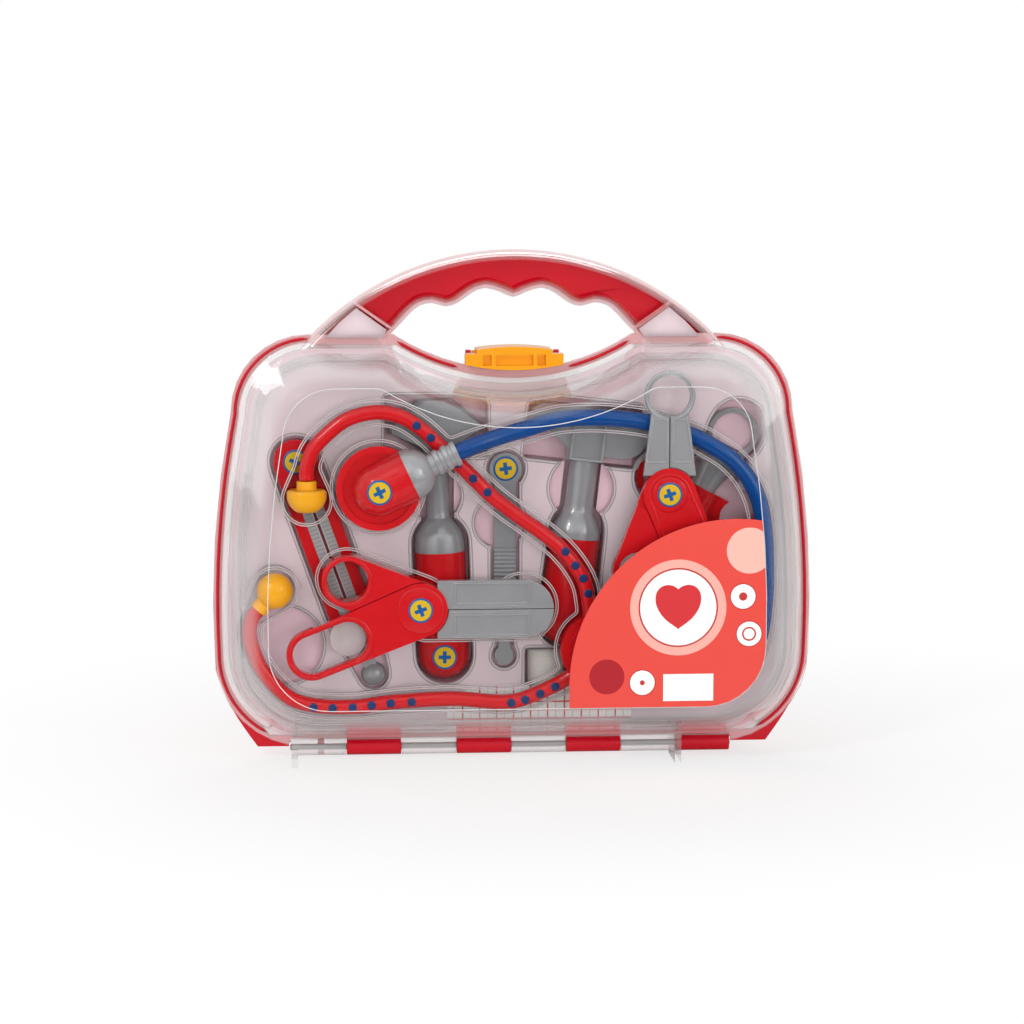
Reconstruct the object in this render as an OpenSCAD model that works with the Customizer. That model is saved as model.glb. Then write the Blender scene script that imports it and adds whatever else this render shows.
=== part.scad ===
// Toy doctor case: a clear front half and a red back half on a bottom hinge, with two
// trays of toy instruments. X is to the right, the front faces -Y, Z is up, and the
// case stands on the plane Z = 0. The two halves meet at the plane Y = 0.

/* [Case] */
// Half the width of the rim where the case is widest
rim_half_w = 145; // [142:0.5:148]
// Height of the bottom edge of the clear half's rim
rim_bottom = 5; // [5:0.1:6]
// Height of the top edge of the body beside the handle
rim_top = 205; // [203:0.5:207]
// Depth of each half from the parting plane to its face
half_depth = 38; // [37:0.5:40]
// Thickness of the rim flange of a half
flange_t = 2.2; // [1.8:0.1:2.6]
// Gap between each half's rim and the parting plane
part_gap = 0.15; // [0.15:0.05:0.3]
// Thickness of the moulded walls
wall = 1.7; // [1.4:0.1:1.9]
// Lowest height of the dip in the rim under the latch
dip_bottom = 187.8; // [186:0.2:188.5]

/* [Handle] */
// Radius of the handle's outer arc
handle_r = 136; // [134:0.5:138]
// Highest point of the handle
handle_top = 245.5; // [244:0.5:248]
// Depth of each half of the handle
handle_depth = 13; // [12:0.5:15]

/* [Hinge] */
// Height of the hinge pin's axis
hinge_z = 4.5; // [4.5:0.1:4.8]
// Left end of the row of hinge knuckles
hinge_left = -108; // [-110:0.5:-106]
// Length of one knuckle with its share of the gap
knuckle_pitch = 26.75; // [26:0.05:27]
// Number of knuckles, taken in turn by the clear and the red half
knuckles = 8; // [8:2:8]
// Outer radius of a knuckle
knuckle_r = 4; // [3.6:0.1:4]
// Gap between neighbouring knuckles
knuckle_gap = 0.4; // [0.3:0.1:0.6]
// Radius of the steel hinge pin
hinge_pin_r = 1.5; // [1.2:0.1:1.7]
// Radial clearance of a running fit
fit = 0.06; // [0.04:0.01:0.08]
// Thickness of a foot fin
fin_t = 3; // [2.5:0.1:3.5]

/* [Latch] */
// Width of the latch over its wings
latch_w = 47; // [44:0.5:50]
// Width of the latch's middle slab
latch_mid_w = 36; // [35:0.5:37]
// Height of the latch's axis
latch_z = 194.4; // [194:0.1:195]
// Depth of the latch's axis behind the parting plane
latch_y = 7; // [6.5:0.1:7.5]
// Radius of the latch pin
latch_pin_r = 1; // [0.8:0.1:1.2]

/* [Trays] */
// Thickness of the formed tray sheets
sheet = 1; // [0.8:0.1:1.2]
// Depth of the front face of the front tray's land
front_land = -12; // [-12.5:0.1:-11.8]
// Depth of the front face of the front tray's pocket floors
front_floor = -9; // [-9.2:0.1:-8.8]
// Depth of the front face of the rear tray's land
rear_land = 2; // [1.8:0.1:2.4]
// Room between an instrument and the wall of its pocket
pocket_room = 1.6; // [1.2:0.1:1.8]

/* [Instruments] */
// Radius of the stethoscope's red arms
arm_r = 3.6; // [3.4:0.1:3.7]
// Radius of the stethoscope's blue tube
tube_r = 4.1; // [3.8:0.1:4.2]
// Radius of the dish of the chest piece
chest_r = 20.2; // [19.5:0.1:20.5]
// Radius of the round badges
badge_r = 6; // [5.4:0.1:6.2]
// Radius of the pivot rivets
rivet_r = 2.5; // [2:0.1:3]
// Radius of the syringe's plunger
piston_r = 6.6; // [6:0.1:7]

/* [Hidden] */
$fn = 48;
eps = 0.01;

// Places of the rim's curves
side_mid_z = 72;
side_bow_r = 487;
bottom_corner_r = 44.5;
top_corner_r = 37;
dip_half_w = 57.6;
square_corner_run = 20;
square_corner_rise = 38;
square_corner_bow = 2.4;
// How far the bottom, the top, the dip and the corners move for each mm of inset
bottom_slope = 0.9;
top_slope = 0.87;
dip_slope = 0.93;
dip_spread = 0.27;
bottom_r_slope = 0.6;
top_r_slope = 0.5;

red = "crimson";
clear = [0.85, 0.88, 0.9, 0.35];
silver = "silver";
blue = "mediumblue";
yellow = "gold";

// ---- points and outlines -------------------------------------------------------------------

function polar(c, r, a) = [c.x + r*cos(a), c.y + r*sin(a)];
function arc(c, r, a0, a1, n) = [for (i = [0:n]) polar(c, r, a0 + (a1 - a0)*i/n)];
function flip(points) = [for (i = [len(points) - 1:-1:0]) [-points[i].x, points[i].y]];

// Half-width of the rim's bowed side at height z
function side_x(z, inset) = rim_half_w - inset - pow(z - side_mid_z, 2)/(2*side_bow_r);

// Right half of a body outline, from the bottom centre to the bottom of the dip
function body_half(inset, square) = let(
    z0 = rim_bottom + inset*bottom_slope,
    z1 = rim_top - inset*top_slope,
    rb = bottom_corner_r - inset*bottom_r_slope,
    rt = top_corner_r - inset*top_r_slope,
    zb = z0 + (square ? square_corner_rise - inset*0.5 : rb),
    zt = z1 - rt,
    dip_z = dip_bottom - inset*dip_slope,
    dip_w = dip_half_w + inset*dip_spread,
    h = z1 - dip_z,
    dip_r = (dip_w*dip_w + h*h)/(2*h),
    dip_a = asin(dip_w/dip_r),
    corner_x = side_x(zb, inset) - square_corner_run,
    square_points = [for (i = [0:8]) let(t = i/8)
        [corner_x + t*square_corner_run + square_corner_bow*sin(180*t), z0 + t*(zb - z0)]],
    round_points = arc([side_x(zb, inset) - rb, zb], rb, -90, 0, 8))
    concat([[0, z0], [50, z0]], square ? square_points : round_points,
        [for (i = [1:3]) let(z = zb + (zt - zb)*i/4) [side_x(z, inset), z]],
        arc([side_x(zt, inset) - rt, zt], rt, 0, 90, 8),
        arc([0, dip_z + dip_r], dip_r, dip_a - 90, -90, 7));

function body_outline(inset, square) = let(half = body_half(inset, square))
    concat(half, flip([for (i = [1:len(half) - 2]) half[i]]));

// Height of the body's outer top beside the handle, at an inset
function top_z(inset) = rim_top - inset*top_slope;

// A smooth curve through hand-chosen points, with n steps between two of them
function smooth(p, n) = concat([for (i = [0:len(p) - 2]) for (k = [0:n - 1]) let(
    t = k/n,
    p0 = p[max(i - 1, 0)],
    p1 = p[i],
    p2 = p[i + 1],
    p3 = p[min(i + 2, len(p) - 1)])
    0.5*(2*p1 + (p2 - p0)*t + (2*p0 - 5*p1 + 4*p2 - p3)*t*t + (3*p1 - p0 - 3*p2 + p3)*t*t*t)],
    [p[len(p) - 1]]);

// Right half of the finger-waved lower edge of the handle
handle_wave = [[0, 222.6], [6, 225], [13.5, 227], [20, 224.6], [26.5, 220], [32.5, 218.2],
    [39, 219.9], [45, 218.6], [49.5, 215], [54.5, 209.6], [60, 204]];
handle_centre = [0, handle_top - handle_r];
handle_foot_x = 62;

// A half of the handle's outline, inset by d, with its feet sunk into the body down to foot_z
function handle_ring(d, foot_z) = let(
    wave = smooth(concat(flip([for (i = [1:len(handle_wave) - 1]) handle_wave[i]]), handle_wave), 2),
    n = len(wave),
    edge = [for (i = [0:n - 1]) let(t = wave[min(i + 1, n - 1)] - wave[max(i - 1, 0)])
        wave[i] + d*[-t.y, t.x]/norm(t)],
    foot_a = asin((foot_z - handle_centre.y)/(handle_r - d)))
    concat(arc(handle_centre, handle_r - d, foot_a, 180 - foot_a, n + 1),
        [[-handle_foot_x - d, foot_z]], edge, [[handle_foot_x + d, foot_z]]);

// ---- solids from outlines ------------------------------------------------------------------

// A closed skin over rings of equal numbers of points. Its two ends are closed by fans round
// hub, a point seen from the whole ring, or by strips across the ring if there is no hub
module skin(rings, hub = undef) {
    n = len(rings[0]);
    m = len(rings);
    last = (m - 1)*n;
    hubs = is_undef(hub) ? [] : [[hub.x, rings[0][0].y, hub.y], [hub.x, rings[m - 1][0].y, hub.y]];
    half = floor(n/2);
    strip = [for (i = [0:half - 2]) each [[i, i + 1, n - 2 - i], [i, n - 2 - i, n - 1 - i]]];
    fan = [for (i = [0:n - 1]) [i, (i + 1) % n]];
    polyhedron(concat([for (ring = rings) each ring], hubs),
        concat([for (j = [0:m - 2]) for (i = [0:n - 1]) let(k = (i + 1) % n)
                [j*n + i, (j + 1)*n + i, (j + 1)*n + k]],
            [for (j = [0:m - 2]) for (i = [0:n - 1]) let(k = (i + 1) % n)
                [j*n + i, (j + 1)*n + k, j*n + k]],
            [for (e = fan) if (!is_undef(hub)) [m*n, e[0], e[1]]],
            [for (e = fan) if (!is_undef(hub)) [m*n + 1, last + e[1], last + e[0]]],
            [for (f = strip) if (is_undef(hub)) f],
            [for (f = strip) if (is_undef(hub)) [last + f[2], last + f[1], last + f[0]]]),
        convexity = 8);
}

function lift(points, y) = [for (p = points) [p.x, y, p.y]];

// A tube swept along a route, with its rings square to the route
module sweep(route, r, sides) {
    n = len(route);
    rings = [for (i = [0:n - 1]) let(
        t = route[min(i + 1, n - 1)] - route[max(i - 1, 0)],
        side = cross(t, [0, 1, 0])/norm(cross(t, [0, 1, 0])),
        front = cross(side, t)/norm(cross(side, t)))
        [for (k = [0:sides - 1]) let(a = 360*k/sides) route[i] + r*(side*cos(a) + front*sin(a))]];
    skin(rings);
}

// An outline drawn in X and Z, made solid from the depth y_back forward to y_front
module plate(y_front, y_back) {
    translate([0, y_back, 0])
        rotate([90, 0, 0])
            linear_extrude(y_back - y_front) children();
}

// A shape drawn along Z, laid at a place with its top leaning right by an angle
module lean(place, angle) {
    translate(place) rotate([0, angle, 0]) children();
}

// Two circles and the flat sides between them
module taper(p, rp, q, rq) {
    d = norm(q - p);
    a = atan2(q.y - p.y, q.x - p.x);
    b = acos((rp - rq)/d);
    translate(p) circle(rp);
    translate(q) circle(rq);
    polygon([polar(p, rp, a - b), polar(q, rq, a - b), polar(q, rq, a + b), polar(p, rp, a + b)]);
}

// The same outline as one polygon, for the pockets of the trays
module slot(p, rp, q, rq) {
    a = atan2(q.y - p.y, q.x - p.x);
    b = acos((rp - rq)/norm(q - p));
    polygon(concat(arc(p, rp, a + b, a + 360 - b, 14), arc(q, rq, a - b, a + b, 14)));
}

// ---- case ----------------------------------------------------------------------------------

// Inset and depth of the rings that run over a half's outside and back along its inside
outer_steps = [[26.5, 0], [23, 0.7], [20.5, 3], [17.5, 8], [12.5, 18]];
function half_rings(square, ledge) = concat(
    [for (s = outer_steps) lift(body_outline(s[0], square), half_depth - s[1])],
    [for (s = [[4, flange_t], [0, flange_t], [0, part_gap], [4 + wall, part_gap]])
        lift(body_outline(s[0], square), s[1])],
    ledge ? [for (s = [[4 + wall, ledge_y], [5.6 + wall, ledge_y]])
        lift(body_outline(s[0], square), s[1])] : [],
    [for (s = [[12.5, 18], [17.5, 8], [20.5, 3 + 0.4]])
        lift(body_outline(s[0] + wall, square), half_depth - s[1] - wall*0.3)],
    [lift(body_outline(24 + wall, square), half_depth - wall)]);
ledge_y = rear_land + sheet;

// Inset of the body's outer wall at a depth behind the rim, down to where its shoulder starts
function wall_inset(y) = 4 + max(0, y - flange_t)*8.5/(half_depth - 18 - flange_t);

// Height at which a half handle's foot ends at a depth, sunk by half a wall into the body
function foot_z(y) = top_z(wall_inset(y) + wall/2);

// A half of the handle: a channel that is open at the parting plane
handle_steps = [[4.5, 0], [2.2, 1], [0.8, 4], [0, handle_depth - part_gap]];
handle_outside = [for (s = handle_steps) let(y = handle_depth - s[1])
    lift(handle_ring(s[0], foot_z(y)), y)];
handle_inside = [for (s = [[wall, handle_depth - part_gap], [0.8 + wall, 4 + wall], [3 + wall, 1 + wall]])
    let(y = handle_depth - s[1]) lift(handle_ring(s[0], foot_z(y) + wall), y)];

// The wall that closes the hollow of the handle above each foot: a point on it, and its lean
foot_wall = [handle_foot_x + 5, rim_top + 9];
foot_wall_lean = 55;
foot_wall_t = 1.2;
foot_wall_w = 34;
module handle_half() {
    skin(concat(handle_outside, handle_inside));
    intersection() {
        skin(handle_outside);
        for (s = [-1, 1])
            translate([s*foot_wall.x, part_gap, foot_wall.y])
                rotate([0, s*foot_wall_lean, 0])
                    translate([-foot_wall_t/2, 0, -foot_wall_w/2])
                        cube([foot_wall_t, handle_depth - wall, foot_wall_w]);
    }
}

// Knuckles of one half: first is 0 for the clear half and 1 for the red one
module knuckle_row(first, r, grow) {
    for (i = [first:2:knuckles - 1])
        translate([hinge_left + i*knuckle_pitch + (knuckle_gap/2 - grow), 0, hinge_z])
            rotate([0, 90, 0])
                cylinder(r = r, h = knuckle_pitch - knuckle_gap + 2*grow);
}

module hinge_bore(r) {
    translate([hinge_left - 1, 0, hinge_z])
        rotate([0, 90, 0]) cylinder(r = r, h = knuckles*knuckle_pitch + 2);
}

// A fin under the sloping bottom wall that ends on the ground
fin_reach = 29;
module fin(x) {
    translate([x, 0, 0])
        rotate([90, 0, 90])
            linear_extrude(fin_t)
                polygon([[1.2, 1], [4, 0], [fin_reach, 0], [fin_reach, 21.2], [19, 14.4],
                    [flange_t, 9.2], [1.2, 9.2]]);
}

knuckle_clear = 0.35;
module case_half(square, ledge, first, fins) {
    difference() {
        union() {
            skin(half_rings(square, ledge), [0, 100]);
            handle_half();
            for (x = fins) fin(x);
        }
        knuckle_row(1 - first, knuckle_r + knuckle_clear, knuckle_gap/2 + 0.2);
        hinge_bore(knuckle_r - 1);
    }
}

ear_x = 20;
ear_t = 2.6;
module latch_ear(x) {
    translate([x, 0, 0])
        rotate([90, 0, 90])
            linear_extrude(ear_t)
                union() {
                    translate([latch_y, latch_z]) circle(2.6);
                    polygon([[latch_y - 2.6, latch_z], [latch_y - 2.6, 185.2], [latch_y + 5, 181.6],
                        [latch_y + 2.6, latch_z]]);
                }
}

red_fin_x = 92;
module back_shell() {
    color(red)
    difference() {
        union() {
            case_half(true, true, 1, [-red_fin_x - fin_t, red_fin_x]);
            knuckle_row(1, knuckle_r, 0);
            latch_ear(ear_x);
            latch_ear(-ear_x - ear_t);
        }
        hinge_bore(hinge_pin_r);
        translate([-latch_w/2, latch_y, latch_z])
            rotate([0, 90, 0]) cylinder(r = latch_pin_r, h = latch_w);
    }
}

clear_fin_x = hinge_left + 7*knuckle_pitch - knuckle_gap/2 - fin_t;
module front_cover() {
    color(clear)
    difference() {
        union() {
            mirror([0, 1, 0])
                case_half(false, false, 0, [hinge_left + knuckle_gap/2, clear_fin_x]);
            knuckle_row(0, knuckle_r, 0);
        }
        hinge_bore(hinge_pin_r + fit);
    }
}

pin_out = 0.6;
module hinge_pin() {
    color(silver) {
        translate([hinge_left - pin_out, 0, hinge_z])
            rotate([0, 90, 0])
                cylinder(r = hinge_pin_r, h = knuckles*knuckle_pitch + 2*pin_out);
    }
}

// The latch lies over the dip of the rim, and its hanging front edge follows the dip
latch_front = -10.5;
latch_lip_back = -2.5;
latch_clear = 0.4;
latch_low = dip_bottom - 0.8;
latch_wing_top = latch_z + 1.6;
latch_mid_low = latch_z - 2.4;
latch_mid_h = 8;
latch_crown_r = 120;
latch_crown_top = latch_z + 5;
latch_barrel_r = 2.4;
latch_hollow_z = latch_z - 4;
latch_hollow_h = 5;
// Left edge and width of each hollow in the latch's front
latch_hollows = [[-15, 4], [-9, 18], [11, 4]];
dip_rim_r = (pow(dip_half_w, 2) + pow(rim_top - dip_bottom, 2))/(2*(rim_top - dip_bottom));
module latch() {
    color(yellow)
    difference() {
        union() {
            plate(latch_front, latch_lip_back) intersection() {
                translate([-latch_w/2, latch_low]) square([latch_w, latch_wing_top - latch_low]);
                translate([0, dip_bottom + dip_rim_r]) circle(dip_rim_r - latch_clear, $fn = 180);
            }
            plate(latch_front, latch_y + 2.2) intersection() {
                translate([-latch_mid_w/2, latch_mid_low]) square([latch_mid_w, latch_mid_h]);
                translate([0, latch_crown_top - latch_crown_r]) circle(latch_crown_r, $fn = 180);
            }
            translate([-ear_x + 0.4, latch_y, latch_z])
                rotate([0, 90, 0]) cylinder(r = latch_barrel_r, h = 2*ear_x - 0.8);
        }
        plate(latch_front - 1, latch_front + 3)
            for (h = latch_hollows)
                translate([h[0], latch_hollow_z]) square([h[1], latch_hollow_h]);
        translate([-latch_w/2, latch_y, latch_z])
            rotate([0, 90, 0]) cylinder(r = latch_pin_r + fit, h = latch_w);
    }
}

module latch_pin() {
    color(silver)
        translate([-ear_x - ear_t, latch_y, latch_z])
            rotate([0, 90, 0]) cylinder(r = latch_pin_r, h = 2*(ear_x + ear_t));
}

// The label keeps inside the face of the cover: a quarter disc with a square foot
label_t = 0.3;
label_centre = [103.8, 39.6];
label_r = 79.6;
label_bottom = 28.6;
module label() {
    color("tomato")
        plate(-half_depth - label_t, -half_depth)
            intersection() {
                polygon(body_outline(26.8, false));
                translate(label_centre) union() {
                    circle(label_r, $fn = 120);
                    translate([-label_r, -label_centre.y]) square([label_r, label_centre.y]);
                }
                translate([label_centre.x - label_r, label_bottom]) square([130, 130]);
            }
}

// ---- stethoscope ---------------------------------------------------------------------------

hump_r = 12.6;
hump_room = 1.1;
chest_axis_y = -(half_depth - wall - hump_room - hump_r);

arm_y = front_floor - arm_r;
upper_arm_route = [[-99.6, arm_y, 136], [-99.4, arm_y, 142.5], [-96.6, arm_y, 150.5], [-90.5, arm_y, 157.5],
    [-80, arm_y, 165.4], [-66.4, arm_y, 168.6], [-54.4, arm_y, 166.4], [-44.7, arm_y, 160.4],
    [-37.5, arm_y, 153.8], [-31.2, arm_y, 147.8], [-19.7, arm_y, 136.5], [-12, arm_y, 128.8],
    [-1, arm_y, 120.1], [12.5, arm_y, 110.5], [22.2, arm_y, 102.3], [29.9, arm_y, 92.7],
    [34.5, arm_y, 83], [36.5, arm_y, 68]];
lower_arm_route = [[-123.2, arm_y, 73.9], [-126.4, arm_y, 69.6], [-127.2, arm_y, 60], [-121.6, arm_y, 45],
    [-109.4, arm_y, 31.8], [-95.8, arm_y, 27.2], [-77, arm_y, 26.4], [-57.7, arm_y, 28.6],
    [-29.4, arm_y, 29.7], [-4.8, arm_y, 27.8], [8.7, arm_y, 31], [24.1, arm_y, 38.3], [33, arm_y, 45]];

upper_studs = [[-47.1, 162.4], [-40.4, 156.6], [-27.4, 144], [-20.2, 136.9], [-13.4, 130.2],
    [24.1, 101.3], [28.9, 94.5], [32.8, 88.2], [35.2, 80.9]];
lower_studs = [[-97.2, 26.9], [-88, 26.4], [-78.4, 26.6], [-69.3, 27.5], [-60.1, 28.4], [-50, 28.9],
    [-2, 27.9], [4.8, 29.4], [12, 32.2], [19.3, 35.6]];
stud_r = 2.1;
module studs(places, deep) {
    for (p = places)
        translate([p.x, arm_y, p.y])
            rotate([90, 0, 0]) cylinder(r = stud_r, h = deep, $fn = 24);
}

module headset_upper_arm() {
    color(red)
    difference() {
        sweep(smooth(upper_arm_route, 2), arm_r, 12);
        studs(upper_studs, arm_r + 1);
    }
}

module headset_lower_arm() {
    color(red)
    difference() {
        sweep(smooth(lower_arm_route, 2), arm_r, 12);
        studs(lower_studs, arm_r + 1);
    }
}

module arm_studs() {
    color("navy") studs(concat(upper_studs, lower_studs), arm_r - 0.1);
}

// A straight hole that the end of a swept tube sits in: p is its end and q a point further along
module socket(p, q, r, len) {
    d = (q - p)/norm(q - p);
    translate(p)
        rotate([0, acos(d.z), atan2(d.y, d.x)]) cylinder(r = r, h = len);
}

junction = [39.5, 53.2];
junction_r = 17.6;
junction_front = -19.6;
socket_room = 0.3;
module headset_junction() {
    color(red)
    difference() {
        union() {
            plate(junction_front + 2, front_floor) translate(junction) circle(junction_r);
            plate(junction_front, front_floor) translate(junction) circle(junction_r - 4);
        }
        for (route = [upper_arm_route, lower_arm_route])
            socket(route[len(route) - 1], route[len(route) - 2], arm_r + socket_room, 16);
        socket(tube_route[len(tube_route) - 1], tube_route[len(tube_route) - 2], tube_r + socket_room, 20);
    }
}

// The ear tips: a neck on the arm's end, and a domed cap above and a ball below
tip_y = -14.4;
tip_neck_r = 4.8;
tip_cap_r = 9.6;
tip_cap_h = 8.4;
upper_tip = [-99.6, 131.4];
module ear_tip_upper() {
    color(yellow) {
        translate([upper_arm_route[0].x, arm_y, upper_tip.y])
            cylinder(r = tip_neck_r, h = upper_arm_route[0].z - upper_tip.y);
        translate([upper_tip.x, tip_y, upper_tip.y])
            rotate_extrude() polygon(concat([[0, 0.6], [tip_cap_r - 1, 0.6], [tip_cap_r, -0.6]],
                [for (a = [10:10:60]) [tip_cap_r*cos(a), -2 - 9.4*sin(a)]], [[0, -2 - tip_cap_h]]));
    }
}
lower_tip = [-115.2, 83.4];
lower_tip_r = 8.7;
module ear_tip_lower() {
    end = lower_arm_route[0];
    color(yellow) {
        translate([lower_tip.x, tip_y, lower_tip.y]) sphere(lower_tip_r);
        socket(end, [lower_tip.x, arm_y, lower_tip.y], tip_neck_r - 0.4, 8);
    }
}

tube_y = front_floor - tube_r;
tube_deep_y = -10.3;
tube_route = [[-34.6, chest_axis_y, 147], [-27.3, chest_axis_y, 150.4], [-18.3, -20.6, 153.8],
    [-7.6, -16.4, 157], [6.3, tube_y, 160.6],
    [21.2, tube_y, 164.7], [41, tube_y, 165.4], [61.2, -11.4, 163.4], [73, tube_deep_y, 160.4],
    [85, -11.4, 156.6], [94, tube_y, 152], [104, tube_y, 145.4], [112, tube_y, 136.6],
    [117, tube_y, 127.2], [119.4, tube_y, 118.4], [121, tube_y, 106], [121.6, tube_y, 90],
    [121, tube_y, 74], [118.6, tube_y, 58], [111, tube_y, 42], [97, tube_y, 32.6],
    [82, tube_y, 31], [66, tube_y, 36.4], [52, tube_y, 46.4]];
module tube() {
    color(blue) sweep(smooth(tube_route, 2), tube_r, 12);
}

// The chest piece: a dish with a lip, and a hump that runs out to the silver bell and neck
chest = [-65.4, 132.6];
chest_lean = 25;
hump_len = 16;
hump_back = -15;
dish_front = -18;
badge_front = 0.8 + chest_axis_y - hump_r;
module along_chest() {
    translate([chest.x, chest_axis_y, chest.y]) rotate([0, 90 - chest_lean, 0]) children();
}
module chest_piece() {
    color(red)
    difference() {
        union() {
            plate(-15.6, front_floor) translate(chest) circle(chest_r - 3);
            plate(dish_front, front_land - 0.4) difference() {
                translate(chest) circle(chest_r);
                translate(chest) circle(chest_r - 3 - eps);
            }
            difference() {
                along_chest()
                    rotate_extrude() polygon(concat(arc([0, 0], hump_r, -90, 0, 9),
                        [[hump_r, hump_len], [0, hump_len]]));
                plate(hump_back, 0) translate([-150, 0]) square([300, 250]);
            }
        }
        badge_seat(chest, badge_front);
    }
}

// Half outline of the silver bell and of the ringed neck that grips the tube
chest_neck_outline = [[0, 0], [12.4, 0], [12.2, 3], [10.8, 6.6], [8, 9.6], [5.4, 11.2],
    [5.2, 13.6], [6.1, 14], [6.1, 16], [5.2, 16.6], [5.2, 18.2], [6.2, 18.6], [6.2, 20.6],
    [5.4, 21.2], [5.4, 22.8], [6.2, 23.2], [6.2, 25.4], [0, 25.4]];
module chest_neck() {
    color(silver)
    difference() {
        along_chest() translate([0, 0, hump_len]) rotate_extrude() polygon(chest_neck_outline);
        plate(hump_back, 0) translate([-150, 0]) square([300, 250]);
        plate(dish_front - lap_gap, 0) translate(chest) circle(chest_r + lap_gap);
        socket(tube_route[0], tube_route[1], tube_r + socket_room, 20);
    }
}

// ---- badges --------------------------------------------------------------------------------

badge_t = 0.5;
module badge(place, y) {
    translate([place.x, y, place.y])
        rotate([90, 0, 0]) cylinder(r = badge_r, h = badge_t);
}

// ---- scissors and forceps ------------------------------------------------------------------

// Two halves lap at the pivot. Each half is full depth away from it, and is cut there to its
// own side of the lap. The moving half lies wholly in front of the land of the tray.
lap_gap = 0.3;
turn_gap = 0.4;
blade_gap = 0.15;

// Keeps a half's own side of the lap within a circle round the pivot
module lapped(pivot, boss_r, y_cut_front, y_cut_back) {
    difference() {
        children();
        plate(y_cut_front, y_cut_back) translate(pivot) circle(boss_r + turn_gap);
    }
}

module pivot_hole(pivot, r) {
    translate([pivot.x, 0, pivot.y]) rotate([90, 0, 0]) cylinder(r = r, h = half_depth);
}

scissors_pivot = [-45.7, 74.4];
scissors_boss_r = 13;
scissors_lap = -16.4;
scissors_front = -22;
scissors_back = -9;
upper_ring = [-80.6, 88.5];
ring_r = 12.4;
ring_hole_r = 9.8;
loop_far = [-97.7, 53.2];
loop_near = [-80.4, 60];
loop_r = 12.2;
loop_notch = [-94.5, 70.4];
blade_reach = 64;
blade_h = 14;
blade_root = 8;

module scissors_handle_front() {
    color(red)
    difference() {
        plate(scissors_front, scissors_lap - lap_gap/2) difference() {
            union() {
                taper(scissors_pivot, scissors_boss_r, loop_near, loop_r);
                difference() {
                    taper(loop_near, loop_r, loop_far, loop_r);
                    translate(loop_notch) circle(5);
                }
            }
            taper(loop_near, ring_hole_r - 0.6, loop_far, ring_hole_r - 0.6);
        }
        pivot_hole(scissors_pivot, rivet_r + fit);
        scissors_blade_block(1, blade_root, scissors_front + 1.2, scissors_lap);
    }
}

// One blade's block: side is 1 for the upper blade and -1 for the lower one
module scissors_blade_block(side, from, y_front, y_back) {
    plate(y_front, y_back)
        intersection() {
            translate([scissors_pivot.x + from, scissors_pivot.y + (side > 0 ? blade_gap : -blade_h)])
                square([blade_reach - from, blade_h - blade_gap]);
            translate(scissors_pivot + [blade_reach - blade_h, 0]) union() {
                circle(blade_h);
                translate([-blade_reach, -blade_h]) square([blade_reach, 2*blade_h]);
            }
        }
}

// The hollows in a blade's front face
module blade_hollow(side, y_front) {
    plate(y_front - 1, y_front + 0.8)
        translate([scissors_pivot.x + 17, scissors_pivot.y + (side > 0 ? 3.2 : -blade_h + 2)])
            square([34, blade_h - 5.2]);
}

module scissors_blade_front() {
    color(silver)
    difference() {
        scissors_blade_block(1, blade_root, scissors_front + 1.2, scissors_lap - lap_gap/2);
        pivot_hole(scissors_pivot, rivet_r + fit);
        blade_hollow(1, scissors_front + 1.2);
    }
}

module scissors_handle_rear() {
    color(red)
    difference() {
        lapped(scissors_pivot, scissors_boss_r, -half_depth, scissors_lap + lap_gap/2)
            plate(scissors_front, scissors_back) difference() {
                taper(scissors_pivot, scissors_boss_r, upper_ring, ring_r);
                translate(upper_ring) circle(ring_hole_r);
            }
        // the sweep of the front handle
        plate(-half_depth, scissors_lap + lap_gap/2)
            taper(scissors_pivot, scissors_boss_r + turn_gap, loop_near, loop_r + turn_gap);
        pivot_hole(scissors_pivot, rivet_r);
        scissors_blade_block(-1, blade_root, scissors_front + 1.2, scissors_lap + 3);
    }
}

module scissors_blade_rear() {
    color(silver)
    difference() {
        lapped(scissors_pivot, scissors_boss_r, -half_depth, scissors_lap + lap_gap/2)
            scissors_blade_block(-1, blade_root, scissors_front + 1.2, scissors_lap + 3);
        blade_hollow(-1, scissors_front + 1.2);
    }
}

// A rivet through both halves with a round cap in front
module rivet(pivot, y_front, y_back) {
    translate([pivot.x, y_back, pivot.y])
        rotate([90, 0, 0]) {
            cylinder(r = rivet_r, h = y_back - y_front + eps);
            translate([0, 0, y_back - y_front]) cylinder(r = badge_r, h = badge_t);
        }
}

module scissors_rivet() {
    color(yellow) rivet(scissors_pivot, scissors_front - lap_gap, scissors_back);
}

forceps_pivot = [73.7, 129];
forceps_boss_r = 12.6;
forceps_lap = -18;
forceps_front = -21.4;
forceps_back = -14.7;
forceps_pad = front_land;
handle_ring = [14.9, -37.3];
handle_ring_r = 12.2;
jaw_gap = 0.2;
jaw_from = 9;
jaw_to = 39;
jaw_half_from = 12.7;
jaw_half_to = 9;
tip_ring_z = 47.2;
tip_ring_r = 12.2;
tip_ring_hole_r = 9.8;

// Outline of one handle of the forceps: side is 1 for the right one and -1 for the left one
module forceps_handle_outline(side) {
    difference() {
        taper(forceps_pivot, forceps_boss_r,
            forceps_pivot + [side*handle_ring.x, handle_ring.y], handle_ring_r);
        translate(forceps_pivot + [side*handle_ring.x, handle_ring.y]) circle(handle_ring_r - 2.6);
    }
}

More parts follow.
